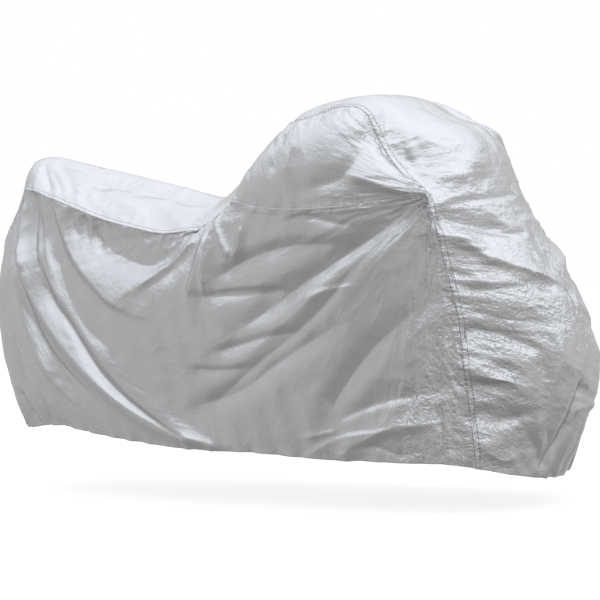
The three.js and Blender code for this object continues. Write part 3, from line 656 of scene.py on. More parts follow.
def upsampled(coarse, times):
    """A grid of values at finer steps, by smooth curves through the given ones."""
    t = (np.arange(times) / times)[None, :, None, None]
    for axis in (0, 1):
        grid = np.moveaxis(coarse, axis, 0)
        grid = np.concatenate([2 * grid[:1] - grid[1:2], grid, 2 * grid[-1:] - grid[-2:-1]])
        a, b, c, d = (grid[start : len(grid) - 3 + start, None] for start in range(4))
        square = 2 * a - 5 * b + 4 * c - d
        cubic = 3 * (b - c) + d - a
        fine = (2 * b + (c - a) * t + square * t**2 + cubic * t**3) / 2
        fine = np.concatenate([fine.reshape(-1, *fine.shape[2:]), grid[-2:-1]])
        coarse = np.moveaxis(fine, 0, axis)
    return coarse


LATTICE = 32


def cloud(points, size, seed):
    """Smooth noise from -1 to 1 in lumps of about the given size."""
    lattice = np.random.default_rng(seed).uniform(-1, 1, (LATTICE,) * 3)
    place = points / size
    cell = np.floor(place).astype(int)
    t = place - cell
    t = t * t * (3 - 2 * t)
    total = np.zeros(points.shape[:-1])
    for corner in itertools.product((0, 1), repeat=3):
        weight = np.prod(np.where(corner, t, 1 - t), axis=-1)
        i, j, k = np.moveaxis((cell + corner) % LATTICE, -1, 0)
        total += weight * lattice[i, j, k]
    return total


def creases(points, size, seed):
    """Flat facets that meet in sharp creases, from -1 to 1."""
    warp = np.stack([cloud(points, size * FACET_WARP_SIZE, seed + k) for k in (1, 2, 3)], axis=-1)
    return 1 - 4 * abs(cloud(points + FACET_WARP * size * warp, size, seed))


def spots_at(points, spots, everywhere=0.0):
    """How strongly the spots on both sides reach each point, up to 1."""
    total = np.full(points.shape[:-1], everywhere)
    folded = np.concatenate([points[..., :1], -abs(points[..., 1:2]), points[..., 2:]], axis=-1)
    for spot in spots:
        away = np.linalg.norm(folded - np.array(spot.centre), axis=-1)
        total += spot.strength * np.exp(-((away / spot.reach) ** 2))
    return np.minimum(total, 1)


HOLD = 0.5
FRAMES = 25
SPARE_PATCH = 260
SPARE_SEED = 11
SPARE_LEAST = 0.4
SPARE_MOST = 1.6
EVENING_PASSES = 2
SETTLING = {
    "quality": 5,
    "mass": 0.02,
    "tension_stiffness": 15,
    "compression_stiffness": 15,
    "shear_stiffness": 5,
    "tension_damping": 5,
    "compression_damping": 5,
    "shear_damping": 5,
    "bending_damping": 0.5,
    "vertex_group_mass": "hold",
    "pin_stiffness": 0.3,
    "vertex_group_shrink": "spare",
}


def settled_shift(cloth, cut):
    """How far each point of the coarse cloth moves when the cloth has a little more length than its
    shape needs and settles under its own weight."""
    mesh = bpy.data.meshes.new("settling")
    faces = np.vstack([grid_quads(ids, panel.turned) for ids, panel in zip(cloth.ids, cloth.panels)])
    mesh.from_pydata(metres(cloth.points).tolist(), [], whole_faces(faces))
    piece = bpy.data.objects.new("settling", mesh)
    bpy.context.collection.objects.link(piece)
    hold = piece.vertex_groups.new(name="hold")
    spare = piece.vertex_groups.new(name="spare")
    patches = (1 + cloud(cloth.points, SPARE_PATCH, SPARE_SEED)) / 2
    for i, patch in enumerate(patches.tolist()):
        hold.add([i], HOLD, "REPLACE")
        spare.add([i], patch, "REPLACE")
    modifier = piece.modifiers.new("settle", "CLOTH")
    settings = modifier.settings
    for name, value in SETTLING.items():
        setattr(settings, name, value)
    settings.bending_stiffness = cut.bend
    settings.shrink_min = -SPARE_LEAST * cut.spare
    settings.shrink_max = -SPARE_MOST * cut.spare
    settings.effector_weights.gravity = cut.gravity
    modifier.point_cache.frame_end = FRAMES
    scene = bpy.context.scene
    for frame_number in range(1, FRAMES + 1):
        scene.frame_set(frame_number)
    settled = piece.evaluated_get(bpy.context.evaluated_depsgraph_get()).to_mesh()
    points = np.empty(len(cloth.points) * 3, np.float32)
    settled.vertices.foreach_get("co", points)
    bpy.data.objects.remove(piece)
    bpy.data.meshes.remove(mesh)
    scene.frame_set(1)
    return points.reshape(-1, 3) * 1000.0 + TOP_SUPPORT - cloth.points


def evened(grid):
    """A grid without its ripples of two cells, which no cloth has; its edges keep their values."""
    grid = grid.copy()
    for _ in range(EVENING_PASSES):
        for axis in (0, 1):
            line = np.moveaxis(grid, axis, 0)[:, 1:-1]
            line[1:-1] = (line[:-2] + 2 * line[1:-1] + line[2:]) / 4
    return grid


@functools.cache
def draped_cloth(cut):
    fine = folded_cloth(FINE)
    coarse = folded_cloth(1)
    shift = settled_shift(coarse, cut)
    moved = np.zeros_like(fine.points)
    for fine_ids, coarse_ids in zip(fine.ids, coarse.ids):
        moved[fine_ids] = upsampled(evened(shift[coarse_ids]), FINE)
    fine.points += moved
    return fine, fine.normals()


def metres(points):
    return (points - TOP_SUPPORT) / 1000


def from_end(grid, axis, end):
    """The grid with one of its edges as the first line."""
    grid = np.moveaxis(grid, axis, 0)
    return grid[::-1] if end else grid


def back_from_end(grid, axis, end):
    return np.moveaxis(grid[::-1] if end else grid, 0, axis)


def travelled(points):
    """How far each point of a grid lies from the grid's first line."""
    steps = np.linalg.norm(np.diff(points, axis=0), axis=-1)
    return np.concatenate([np.zeros_like(steps[:1]), np.cumsum(steps, axis=0)])


def with_close_lines(stack, axis, end):
    """Puts lines of points close beside one edge of a grid, and spreads its first cells after them."""
    stack = from_end(stack, axis, end)
    near = stack[: SEAM_CELLS + 1]
    away = travelled(near[..., :3])
    lines = []
    for k in range(stack.shape[1]):
        close = np.array(SEAM_LINES) * min(1, 0.7 * away[-1, k] / SEAM_LINES[-1])
        at = np.concatenate([close, np.linspace(close[-1], away[-1, k], SEAM_CELLS)[1:]])
        lines.append([np.interp(at, away[:, k], near[:, k, c]) for c in range(stack.shape[2])])
    fine = np.moveaxis(np.array(lines), -1, 0)
    return back_from_end(np.concatenate([fine, stack[SEAM_CELLS + 1 :]]), axis, end)


# The edges of each kind of panel: the axis that leads away from it, and if it is the far end
CENTRE_SEAMS = ((1, False), (1, True))
CENTRE_HEMS = ((0, False), (0, True))
SKIRT_SEAMS = ((0, False), (0, True), (1, True))
SKIRT_HEMS = ((1, False),)
GUSSET_SEAMS = ((1, False), (1, True))
EDGES = {
    "centre_panel": (CENTRE_SEAMS, CENTRE_HEMS),
    "skirt_right": (SKIRT_SEAMS, SKIRT_HEMS),
    "skirt_left": (SKIRT_SEAMS, SKIRT_HEMS),
    "gusset_right": (GUSSET_SEAMS, ()),
    "gusset_left": (GUSSET_SEAMS, ()),
}
CORNER_FADE = 25

# Puckers and gathers are waves of two sizes, each with its seed and its share
PUCKER_WAVES = ((9, 21, 1.0), (18.9, 22, 0.6))
PUCKER_REACH = 8
PUCKER_END = 45
GATHER_WAVES = ((14, 31, 1.0), (32.2, 32, 0.5))
GATHER_REACH = 100
GATHER_FALL = 1.3
CALM_EDGE = 0.35
CALM_REACH = 10


def side_seam_share(name, edge, line):
    """1 where an edge of a panel is the flat seam between a skirt and a gusset, else 0."""
    kind, _, side = name.partition("_")
    if kind == "skirt" and edge == (1, True):
        back = SIDE_SEAM[side][0][0]
        return smoothstep(line[:, 0], back, back + CORNER_FADE)
    return np.full(len(line), 1.0 * (kind == "gusset" and edge == (1, False)))


def band_share(name, edge, line):
    """How much of a seam's raised band lies on this panel, at each point of the seam."""
    if name == "centre_panel":
        return np.ones(len(line))
    return side_seam_share(name, edge, line) * name.startswith("skirt")


def waves_along(line, waves):
    """Noise along a line of points, in waves of several sizes."""
    return sum(share * cloud(line, size, seed) for size, seed, share in waves)


def seam_relief(name, points, cut):
    """The grooves, bands, stitch rows and puckers beside a panel's seams, the distance to the nearest
    seam, the place along it, how strongly it is puckered and the painted shade of its groove and stitch rows."""
    seams = EDGES[name][0]
    away = [back_from_end(travelled(from_end(points, *seam)), *seam) for seam in seams]
    nearest = np.min(away, axis=0)
    along, puckered, dark = (np.zeros_like(nearest) for _ in range(3))
    relief = np.zeros_like(nearest)
    for k, seam in enumerate(seams):
        line = from_end(points, *seam)[0]
        seam_kind = 1 - side_seam_share(name, seam, line)
        d = from_end(away[k], *seam)
        others = [from_end(other, *seam) for other in away[:k] + away[k + 1 :]]
        clear = smoothstep(np.min(others, axis=0), 0, CORNER_FADE)
        raised = smoothstep(d, 0, GROOVE_WIDTH) * (1 - smoothstep(d, *BAND_END))
        sunk = sum(np.exp(-(((d - row) / ROW_WIDTH) ** 2)) for row in STITCH_ROWS)
        on_band = band_share(name, seam, line)
        profile = on_band * (BAND_HEIGHT * raised - ROW_SINK * sunk)
        groove = np.exp(-d / GROOVE_WIDTH) * (FAINT_GROOVE + (1 - FAINT_GROOVE) * seam_kind)
        wave = waves_along(line, PUCKER_WAVES)
        strength = spots_at(line, PUCKERED, PUCKERED_EVERYWHERE)
        tuck = (d / PUCKER_REACH) * np.exp(1 - d / PUCKER_REACH) * np.exp(-((d / PUCKER_END) ** 2))
        here = clear * (profile + cut.pucker * 1000 * strength * wave * tuck) - GROOVE_DEPTH * groove
        relief += back_from_end(here, *seam)
        # Painted shade: the groove and the rows of stitch holes darken the colour, for the shade that falls
        # in them
        holes = on_band * seam_kind * clear * np.minimum(sunk, 1)
        shade = np.maximum(GROOVE_PAINTED_SHADE * groove * seam_kind, ROW_PAINTED_SHADE * holes)
        dark = np.maximum(dark, back_from_end(shade, *seam))
        place = back_from_end(np.broadcast_to(lengths_along(line), d.shape), *seam)
        drawn = back_from_end(np.broadcast_to(strength, d.shape), *seam)
        along = np.where(away[k] <= nearest, place, along)
        puckered = np.where(away[k] <= nearest, drawn, puckered)
    return relief, nearest, along, puckered, dark


def hem_relief(name, points, cut):
    """The gathers that the elastic draws at the front and rear hem."""
    relief = np.zeros(points.shape[:2])
    for hem in EDGES[name][1]:
        grid = from_end(points, *hem)
        line = grid[0]
        d = travelled(grid)
        wave = waves_along(line, GATHER_WAVES)
        calm = 1 - CALM_EDGE * np.exp(-((d / CALM_REACH) ** 2))
        drawn = np.exp(-((d / GATHER_REACH) ** GATHER_FALL)) * calm
        strength = spots_at(line, GATHERED, GATHERED_EVERYWHERE)
        relief += back_from_end(cut.gather * 1000 * strength * wave * drawn, *hem)
    return relief


def grain_places(name, points):
    """Each point's place along and across its panel's two grains, and the share of the second."""
    behind, before, (start, end) = GRAINS[name.split("_")[0]]
    places = []
    apart = SIDES_APART * name.endswith("_left")
    for grain in (behind, before):
        u, v = (points[..., axis] - middle for axis, middle in zip(grain.axes, grain.centre))
        away, turned = np.hypot(u, v), np.arctan2(v, u) * grain.radius
        along, across = (away, turned) if grain.runs == "out" else (turned, away)
        places.append(np.stack([along, across, np.full_like(along, apart)], axis=-1))
    return *places, smoothstep(points[..., 0], start, end)


def crease_relief(name, points, nearest, cut):
    """Crumpled facets in three sizes along the grain, stronger in the creased places and at seams."""
    beside_seam = SEAM_CREASED * np.exp(-nearest / SEAM_CREASED_REACH)
    share = spots_at(points, CREASED, CREASED_EVERYWHERE + beside_seam)
    at_seam = smoothstep(nearest, 0, CREASES_START)
    behind, before, mix = grain_places(name, points)
    total = 0
    stretch = (CREASE_STRETCH, 1, 1)
    for size, seed, part, power in FACETS:
        back, front = (creases(place / stretch, size, seed) for place in (behind, before))
        total = total + part * share**power * (back + (front - back) * mix)
    return cut.crease * 1000 * total * at_seam, share


def with_hem(stack, axis, end):
    """Adds the turned edge of a hem to a grid of points and their values."""
    grid = from_end(stack, axis, end)
    out = unit(grid[0, :, :3] - grid[1, :, :3])
    inward = -unit(grid[0, :, 3:6])
    turned = []
    for past, into in HEM_TURN:
        line = grid[0].copy()
        line[:, :3] += out * past + inward * into
        turned.append(line)
    return back_from_end(np.concatenate([np.array(turned)[::-1], grid]), axis, end)


# What each point of the cloth carries for its material: how far it lies from a seam and along it, how
# strongly it is puckered, the painted shade of its seam's groove and stitch rows, how creased it is, and its
# places along the grains
MARKS = ("seam_away", "seam_along", "puckered", "seam_dark", "creased", "grain_mix")
GRAIN_MARKS = ("grain_behind", "grain_before")


@functools.cache
def finished_panel(cut, n):
    """A panel's finished grid: each point's place, its normal, and its values in MARKS."""
    cloth, normals = draped_cloth(cut)
    name = cloth.panels[n].name
    ids = cloth.ids[n]
    stack = np.concatenate([cloth.points[ids], normals[ids]], axis=-1)
    for seam in EDGES[name][0]:
        stack = with_close_lines(stack, *seam)
    points, normals = stack[..., :3], unit(stack[..., 3:])
    relief, nearest, along, puckered, dark = seam_relief(name, points, cut)
    crumple, share = crease_relief(name, points, nearest, cut)
    relief = relief + hem_relief(name, points, cut) + crumple
    places = points + normals * relief[..., None]
    behind, before, mix = grain_places(name, points)
    marks = [nearest / 1000, along / 1000, puckered, dark, share, mix]
    marks += [grain[..., axis] / 1000 for grain in (behind, before) for axis in range(3)]
    return np.concatenate([places, normals, np.stack(marks, axis=-1)], axis=-1)


def panel_sheet(cut, n):
    """The finished grid with its hems."""
    name = cover_names()[n]
    stack = finished_panel(cut, n)
    for hem in EDGES[name][1]:
        stack = with_hem(stack, *hem)
    return stack


def cover_names():
    return list(EDGES)


def cloth_object(cut, n):
    """One panel's sheet as a mesh, with a UV map in metres along the cloth."""
    name = cover_names()[n]
    stack = panel_sheet(cut, n)
    points = stack[..., :3]
    across = travelled(np.moveaxis(points, 1, 0)).T
    along = np.broadcast_to(travelled(points)[:, points.shape[1] // 2, None], across.shape)
    _, first, ids = np.unique(
        np.round(points.reshape(-1, 3), 3), axis=0, return_index=True, return_inverse=True
    )
    quads = grid_quads(ids.reshape(points.shape[:2]), cover_panels_turned()[n])
    mesh = bpy.data.meshes.new(name)
    mesh.from_pydata(metres(points.reshape(-1, 3)[first]).tolist(), [], whole_faces(quads))
    values = stack[..., 6:].reshape(len(across.ravel()), -1)[first].astype(np.float32)
    for k, label in enumerate(MARKS):
        layer = mesh.attributes.new(label, "FLOAT", "POINT")
        layer.data.foreach_set("value", values[:, k])
    for k, label in enumerate(GRAIN_MARKS):
        layer = mesh.attributes.new(label, "FLOAT_VECTOR", "POINT")
        start = len(MARKS) + 3 * k
        layer.data.foreach_set("vector", values[:, start : start + 3].ravel())
    corner = np.empty(len(mesh.loops), np.int32)
    mesh.loops.foreach_get("vertex_index", corner)
    flat = np.stack([along.ravel()[first], across.ravel()[first]], axis=1) / 1000
    mesh.uv_layers.new(name="cloth").data.foreach_set("uv", flat[corner].astype(np.float32).ravel())
    mesh.shade_smooth()
    piece = bpy.data.objects.new("cloth_" + name, mesh)
    bpy.context.collection.objects.link(piece)
    return piece


def cover_panels_turned():
    return [name in ("centre_panel", "skirt_left", "gusset_left") for name in cover_names()]


def line_beside(cut, n, axis, end, distance):
    """The line of points, with their normals, that lies at a distance from an edge of a panel."""
    stack = from_end(finished_panel(cut, n), axis, end)
    away = travelled(stack[..., :3])
    line = [
        [np.interp(distance, away[:, k], stack[:, k, c]) for c in range(6)] for k in range(stack.shape[1])
    ]
    return np.array(line)


def stitch_places(line, pitch):
    """Even places along a line of points with normals: each stitch's centre, way along and normal."""
    along = lengths_along(line[:, :3])
    count = int(along[-1] / pitch)
    at = (np.arange(count) + 0.5) * pitch
    place = np.stack([np.interp(at, along, line[:, c]) for c in range(6)], axis=1)
    ahead = np.stack([np.interp(at + pitch / 4, along, line[:, c]) for c in range(3)], axis=1)
    return np.concatenate([place[:, :3], unit(ahead - place[:, :3]), unit(place[:, 3:])], axis=1)


def one_stitch(settings):
    """A grain of thread that lies half in the cloth, as points and faces."""
    bpy.ops.object.select_all(action="DESELECT")
    bpy.ops.mesh.primitive_ico_sphere_add(subdivisions=1, radius=0.5)
    grain = bpy.context.object
    grain.scale = (settings.length, settings.width, settings.width)
    bpy.ops.object.transform_apply(location=False, rotation=False, scale=True)
    points = np.array([vertex.co[:] for vertex in grain.data.vertices]) * 1000
    faces = np.array([face.vertices[:] for face in grain.data.polygons])
    mesh = grain.data
    bpy.data.objects.remove(grain)
    bpy.data.meshes.remove(mesh)
    return points, faces


def stitches_object(name, settings, lines):
    """All the stitches of some rows, joined in one mesh."""
    points, faces = one_stitch(settings)
    pitch = (settings.length + settings.gap) * 1000
    places = np.vstack([stitch_places(line, pitch) for line in lines])
    centre, along, normal = places[:, :3], places[:, 3:6], places[:, 6:]
    side = unit(np.cross(normal, along))
    turn = np.stack([along, side, np.cross(along, side)], axis=1)
    sewn = np.einsum("vi,nij->nvj", points, turn) + centre[:, None]
    all_faces = faces[None] + (np.arange(len(centre)) * len(points))[:, None, None]
    mesh = bpy.data.meshes.new(name)
    mesh.from_pydata(metres(sewn.reshape(-1, 3)).tolist(), [], all_faces.reshape(-1, 3).tolist())
    mesh.shade_smooth()
    piece = bpy.data.objects.new(name, mesh)
    bpy.context.collection.objects.link(piece)
    return piece


# The short stitched mark on the front panel, as two strokes, and how finely it is laid on
MARK_STEPS = 24
MARK_BLUR = 7
MARK = (
    [(1955, -220, 495), (1968, -213, 488), (1980, -205, 480)],
    [(1984, -206, 466), (1995, -205, 445), (2005, -200, 425), (2015, -200, 395), (2040, -175, 345)],
)


def mark_lines(cut):
    """The strokes of the mark, laid on the centre panel."""
    stack = finished_panel(cut, 0)[..., :6].reshape(-1, 6)
    stack = stack[stack[:, 0] > TOP_SUPPORT[0]]
    lines = []
    for stroke in MARK:
        line = []
        for point in even_points(stroke, MARK_STEPS):
            away = np.sum((stack[:, :3] - point) ** 2, axis=1)
            share = np.exp((away.min() - away) / MARK_BLUR**2)
            line.append(share @ stack / share.sum())
        lines.append(np.array(line))
    return lines


def long_seam_stitches(cut, side):
    """The double rows along one of the centre panel's long seams."""
    return [line_beside(cut, 0, 1, side == "left", row) for row in STITCH_ROWS]


def side_seam_stitches(cut, side):
    """The double rows under the flat seam between a skirt and its gusset."""
    skirt = cover_names().index("skirt_" + side)
    lines = [line_beside(cut, skirt, 1, True, row) for row in STITCH_ROWS]
    return [line[np.argmax(line[:, 0] > SIDE_SEAM[side][0][0]) :] for line in lines]


def hem_stitches(cut):
    """One row around the whole hem."""
    lines = [line_beside(cut, 0, *hem, HEM_STITCHES) for hem in CENTRE_HEMS]
    for n in (1, 2):
        lines.append(line_beside(cut, n, 1, False, HEM_STITCHES))
    return lines


def add_node(tree, kind, values=(), **settings):
    """A node with its settings, and values for its inputs by name or number."""
    node = tree.nodes.new("ShaderNode" + kind)
    for name, value in settings.items():
        setattr(node, name, value)
    for key, value in dict(values).items():
        node.inputs[key].default_value = value
    return node


def math_node(tree, operation, first, second=None, third=None, clamp=False):
    """A Math node on outputs or numbers, and its output."""
    node = add_node(tree, "Math", operation=operation, use_clamp=clamp)
    for socket, value in zip(node.inputs, (first, second, third)):
        if isinstance(value, bpy.types.NodeSocket):
            tree.links.new(value, socket)
        elif value is not None:
            socket.default_value = value
    return node.outputs[0]


def noise(tree, place, scale, detail=2.0, distortion=0.0):
    node = add_node(tree, "TexNoise", {"Scale": scale, "Detail": detail, "Distortion": distortion})
    tree.links.new(place, node.inputs["Vector"])
    return node.outputs["Fac"]


def ridges(tree, value):
    """Turns smooth noise into sharp ridges: 1 on the ridge, 0 far from it."""
    bent = math_node(tree, "ABSOLUTE", math_node(tree, "SUBTRACT", value, 0.5))
    return math_node(tree, "SUBTRACT", 1.0, math_node(tree, "MULTIPLY", bent, 5.0, clamp=True))


def bump(tree, height, distance, before=None):
    node = add_node(tree, "Bump", {"Strength": 1.0, "Distance": distance})
    tree.links.new(height, node.inputs["Height"])
    if before:
        tree.links.new(before, node.inputs["Normal"])
    return node.outputs[0]


def fading(tree, away, reach):
    """1 at a seam, and almost nothing beyond its reach."""
    far = math_node(tree, "POWER", math_node(tree, "DIVIDE", away, reach), 2.0)
    return math_node(tree, "POWER", math.e, math_node(tree, "MULTIPLY", far, -1.0))


def new_material(name):
    material = bpy.data.materials.new(name)
    material.use_nodes = True
    return material, material.node_tree, material.node_tree.nodes["Principled BSDF"]


# The noises of the cloth's material, each by its scale, detail and distortion, and how deep each
# relief of the surface is, in metres
NOISES = {
    "long streaks": (42, 2),
    "short streaks": (95, 1),
    "crinkles": (50, 3, 0.2),
    "fine": (130, 3),
    "patches": (6, 1),
    "tucks": (75, 2, 0.4),
    "beads": (130, 1),
    "tone": (9, 3),
}
RELIEF_DEPTHS = {
    "woven": 0.00005,
    "fine": 0.0007,
    "streaked": 0.0007,
    "crinkled": 0.0019,
    "tucked": 0.0024,
    "beaded": 0.0022,
}
SHORT_STREAKS = 0.4
CALM_SHARE = 1.1
PATCH_SHARE = 0.5
CRINKLE_POWER = 2.2
BEAD_REACH = 0.021
TUCK_REACH = 0.045
TUCK_STRETCH = 3.0
WEAVE_UNIT = 0.05
TONES = (0.93, 1.04)
SEAM_PAINTED_SHADE = -0.4


def grain_streaks(tree, mix):
    """Fine creases along the two grains, mixed by the share of the second."""
    streaks = []
    for name in GRAIN_MARKS:
        grain = add_node(tree, "Attribute", attribute_name=name).outputs["Vector"]
        flat = add_node(tree, "VectorMath", {1: (1 / GRAIN_STRETCH, 1, 1)}, operation="MULTIPLY")
        tree.links.new(grain, flat.inputs[0])
        long = ridges(tree, noise(tree, flat.outputs[0], *NOISES["long streaks"]))
        short = ridges(tree, noise(tree, flat.outputs[0], *NOISES["short streaks"]))
        streaks.append(math_node(tree, "MULTIPLY_ADD", short, SHORT_STREAKS, long))
    blend = add_node(tree, "Mix", data_type="FLOAT")
    for value, socket in zip((mix, *streaks), (0, 2, 3)):
        tree.links.new(value, blend.inputs[socket])
    return blend.outputs[0]


def seam_puckers(tree, away, along, puckered):
    """Tucks that run out from a seam, and beads between the stitches of its double row."""
    beside = add_node(tree, "CombineXYZ")
    tree.links.new(along, beside.inputs[0])
    tree.links.new(math_node(tree, "MULTIPLY", away, 1 / TUCK_STRETCH), beside.inputs[1])
    tucks = noise(tree, beside.outputs[0], *NOISES["tucks"])
    beads = noise(tree, beside.outputs[0], *NOISES["beads"])
    on_rows = math_node(tree, "MULTIPLY", beads, fading(tree, away, BEAD_REACH))
    beaded = math_node(tree, "MULTIPLY", on_rows, puckered)
    near = math_node(tree, "MULTIPLY", puckered, fading(tree, away, TUCK_REACH))
    return math_node(tree, "MULTIPLY", tucks, near), beaded


def weave_threads(tree, scale):
    """The weave itself, along the cloth's own directions."""
    weave = add_node(tree, "UVMap", uv_map="cloth").outputs[0]
    threads = [
        add_node(tree, "TexWave", {"Scale": scale / WEAVE_UNIT, "Distortion": 0.4},
                 bands_direction=direction)
        for direction in ("X", "Y")
    ]
    for thread in threads:
        tree.links.new(weave, thread.inputs["Vector"])
    return math_node(tree, "MULTIPLY", *(thread.outputs["Fac"] for thread in threads))


def coating(tree, shader, settings, place, dark):
    """The coating, a little darker and duller in patches, with painted shade darkening the groove and stitch
    rows of a seam.
    """
    links = tree.links
    tone = noise(tree, place, *NOISES["tone"])
    colour = add_node(tree, "Mix", data_type="RGBA")
    links.new(tone, colour.inputs[0])
    for socket, share in zip((6, 7), TONES):
        colour.inputs[socket].default_value = (*(min(1, share * c) for c in settings.colour), 1)
    shade = add_node(tree, "VectorMath", operation="SCALE")
    links.new(colour.outputs[2], shade.inputs[0])
    # Painted shade: the base colour is darkened in a seam's groove and along its stitch rows
    links.new(math_node(tree, "MULTIPLY_ADD", dark, SEAM_PAINTED_SHADE, 1.0), shade.inputs["Scale"])
    links.new(shade.outputs[0], shader.inputs["Base Color"])
    dull, shiny = settings.roughness + 0.06, settings.roughness - 0.05
    gloss = add_node(tree, "MapRange", {1: 0.3, 2: 0.7, 3: shiny, 4: dull})
    links.new(tone, gloss.inputs[0])
    links.new(gloss.outputs[0], shader.inputs["Roughness"])
    shader.inputs["Metallic"].default_value = settings.sheen


def silver_cloth(settings):
    """Silver-coated woven cloth: a soft metal sheen with fine crinkles, denser where it is creased."""
    material, tree, shader = new_material("silver_cloth")
    place = add_node(tree, "TexCoord").outputs["Object"]
    away, along, puckered, dark, creased, mix = (
        add_node(tree, "Attribute", attribute_name=name).outputs["Fac"] for name in MARKS
    )
    crinkles = ridges(tree, noise(tree, place, *NOISES["crinkles"]))
    patches = math_node(tree, "MULTIPLY", noise(tree, place, *NOISES["patches"]), PATCH_SHARE)
    calm = math_node(tree, "MULTIPLY_ADD", creased, CALM_SHARE, patches)
    strong = math_node(tree, "POWER", creased, CRINKLE_POWER)
    tucked, beaded = seam_puckers(tree, away, along, puckered)
    reliefs = {
        "woven": weave_threads(tree, settings.weave_scale),
        "fine": noise(tree, place, *NOISES["fine"]),
        "streaked": math_node(tree, "MULTIPLY", grain_streaks(tree, mix), calm),
        "crinkled": math_node(tree, "MULTIPLY", crinkles, strong),
        "tucked": tucked,
        "beaded": beaded,
    }
    normal = None
    for name, height in reliefs.items():
        normal = bump(tree, height, RELIEF_DEPTHS[name], normal)
    tree.links.new(normal, shader.inputs["Normal"])
    coating(tree, shader, settings, place, dark)
    return material


def thread_material(name, shade):
    """Sewing thread with its twist."""
    material, tree, shader = new_material(name)
    place = add_node(tree, "TexCoord").outputs["Object"]
    shader.inputs["Roughness"].default_value = 0.75
    tone = add_node(tree, "Mix", data_type="RGBA")
    tree.links.new(noise(tree, place, 900, 1), tone.inputs[0])
    tone.inputs[6].default_value = (*(0.7 * c for c in shade), 1)
    tone.inputs[7].default_value = (*(min(1, 1.3 * c) for c in shade), 1)
    tree.links.new(tone.outputs[2], shader.inputs["Base Color"])
    tree.links.new(bump(tree, noise(tree, place, 2500, 1), 0.0001), shader.inputs["Normal"])
    return material


FLOOR_GLOW = 0.86
FLOOR_LEVEL = -1.24
FLOOR_SIZE = 40


def floor_material(colour):
    """A pale matt floor with a faint cloudiness, lifted so that shadows on it stay light."""
    material, tree, shader = new_material("floor")
    place = add_node(tree, "TexCoord").outputs["Object"]
    tone = add_node(tree, "Mix", data_type="RGBA")
    tree.links.new(noise(tree, place, 1.5, 2), tone.inputs[0])
    tone.inputs[6].default_value = (*(0.98 * c for c in colour), 1)
    tone.inputs[7].default_value = (*colour, 1)
    tree.links.new(tone.outputs[2], shader.inputs["Base Color"])
    shader.inputs["Roughness"].default_value = 0.9
    shader.inputs["Specular IOR Level"].default_value = 0.1
    shader.inputs["Emission Color"].default_value = (1, 1, 1, 1)
    shader.inputs["Emission Strength"].default_value = FLOOR_GLOW
    return material


# The camera that the photograph was taken with: where it stands, how it is turned, and its focal
# length in pixels of the 600 pixel wide image
FIT = dict(place=(3.0666, -5.1137, -0.44), yaw=33.63, pitch=1.681, roll=-2.482, pixels=1929.57)
IMAGE_WIDTH = 600
SENSOR = 36


def studio_camera():
    """The photograph's own viewpoint: turned by yaw, looking down by pitch and tilted by roll."""
    yaw, pitch, roll = (math.radians(FIT[name]) for name in ("yaw", "pitch", "roll"))
    ahead = np.array([-math.sin(yaw) * math.cos(pitch), math.cos(yaw) * math.cos(pitch), -math.sin(pitch)])
    level = np.array([math.cos(yaw), math.sin(yaw), 0])
    upward = np.cross(level, ahead)
    across = math.cos(roll) * level + math.sin(roll) * upward
    up = -math.sin(roll) * level + math.cos(roll) * upward
    data = bpy.data.cameras.new("camera")
    data.sensor_width = SENSOR
    data.lens = SENSOR * FIT["pixels"] / IMAGE_WIDTH
    camera = bpy.data.objects.new("camera", data)
    bpy.context.collection.objects.link(camera)
    turn = Matrix(np.column_stack([across, up, -ahead]).tolist()).to_4x4()
    camera.matrix_world = Matrix.Translation(FIT["place"]) @ turn
    bpy.context.scene.camera = camera


# Broad lights of the studio: the way towards each, where it is full and where it ends as the cosine
# of the angle from that way, and its tint
Softbox = namedtuple("Softbox", "name towards full end tint")
SOFTBOXES = [
    Softbox("horizon", (0.0, 0.0, 1.0), 0.0, -0.7, (1.0, 1.0, 1.0)),
    Softbox("low_rear", (-1.0, -0.35, 0.0), 0.95, 0.55, (0.93, 0.96, 1.0)),
    Softbox("low_front", (0.87, -0.5, 0.0), 0.95, 0.55, (0.93, 0.96, 1.0)),
    Softbox("overhead", (-0.05, 0.05, 1.0), 0.6, 0.33, (0.8, 0.87, 1.0)),
    Softbox("zenith", (0.1, -0.1, 1.0), 0.97, 0.6, (0.95, 0.97, 1.0)),
    Softbox("backdrop", (0.0, 1.0, 0.15), 0.8, -0.1, (0.97, 0.985, 1.0)),
    Softbox("front", (0.8, 0.05, 0.6), 0.93, 0.75, (0.84, 0.9, 1.0)),
]


def studio_light(settings):
    """The surrounding light, with a plain white backdrop for the camera."""
    world = bpy.data.worlds.new("studio")
    bpy.context.scene.world = world
    world.use_nodes = True
    tree = world.node_tree
    links = tree.links
    way = add_node(tree, "TexCoord").outputs["Generated"]
    total = None
    for box in SOFTBOXES:
        towards = np.array(box.towards) / np.linalg.norm(box.towards)
        dot = add_node(tree, "VectorMath", {1: towards.tolist()}, operation="DOT_PRODUCT")
        links.new(way, dot.inputs[0])
        strength = getattr(settings, box.name)
        fade = add_node(tree, "MapRange", {1: box.end, 2: box.full, 4: strength},
                        interpolation_type="SMOOTHSTEP")
        links.new(dot.outputs["Value"], fade.inputs[0])
        glow = add_node(tree, "VectorMath", {0: box.tint}, operation="SCALE")
        links.new(fade.outputs[0], glow.inputs["Scale"])
        add = add_node(tree, "VectorMath", {1: [settings.ambient] * 3}, operation="ADD")
        links.new(glow.outputs[0], add.inputs[0])
        if total:
            links.new(total, add.inputs[1])
        total = add.outputs[0]
    seen = add_node(tree, "LightPath").outputs["Is Camera Ray"]
    mix = add_node(tree, "Mix", {7: (1, 1, 1, 1)}, data_type="RGBA")
    links.new(seen, mix.inputs[0])
    links.new(total, mix.inputs[6])
    links.new(mix.outputs[2], tree.nodes["Background"].inputs[0])
    bpy.context.scene.view_settings.view_transform = "Standard"


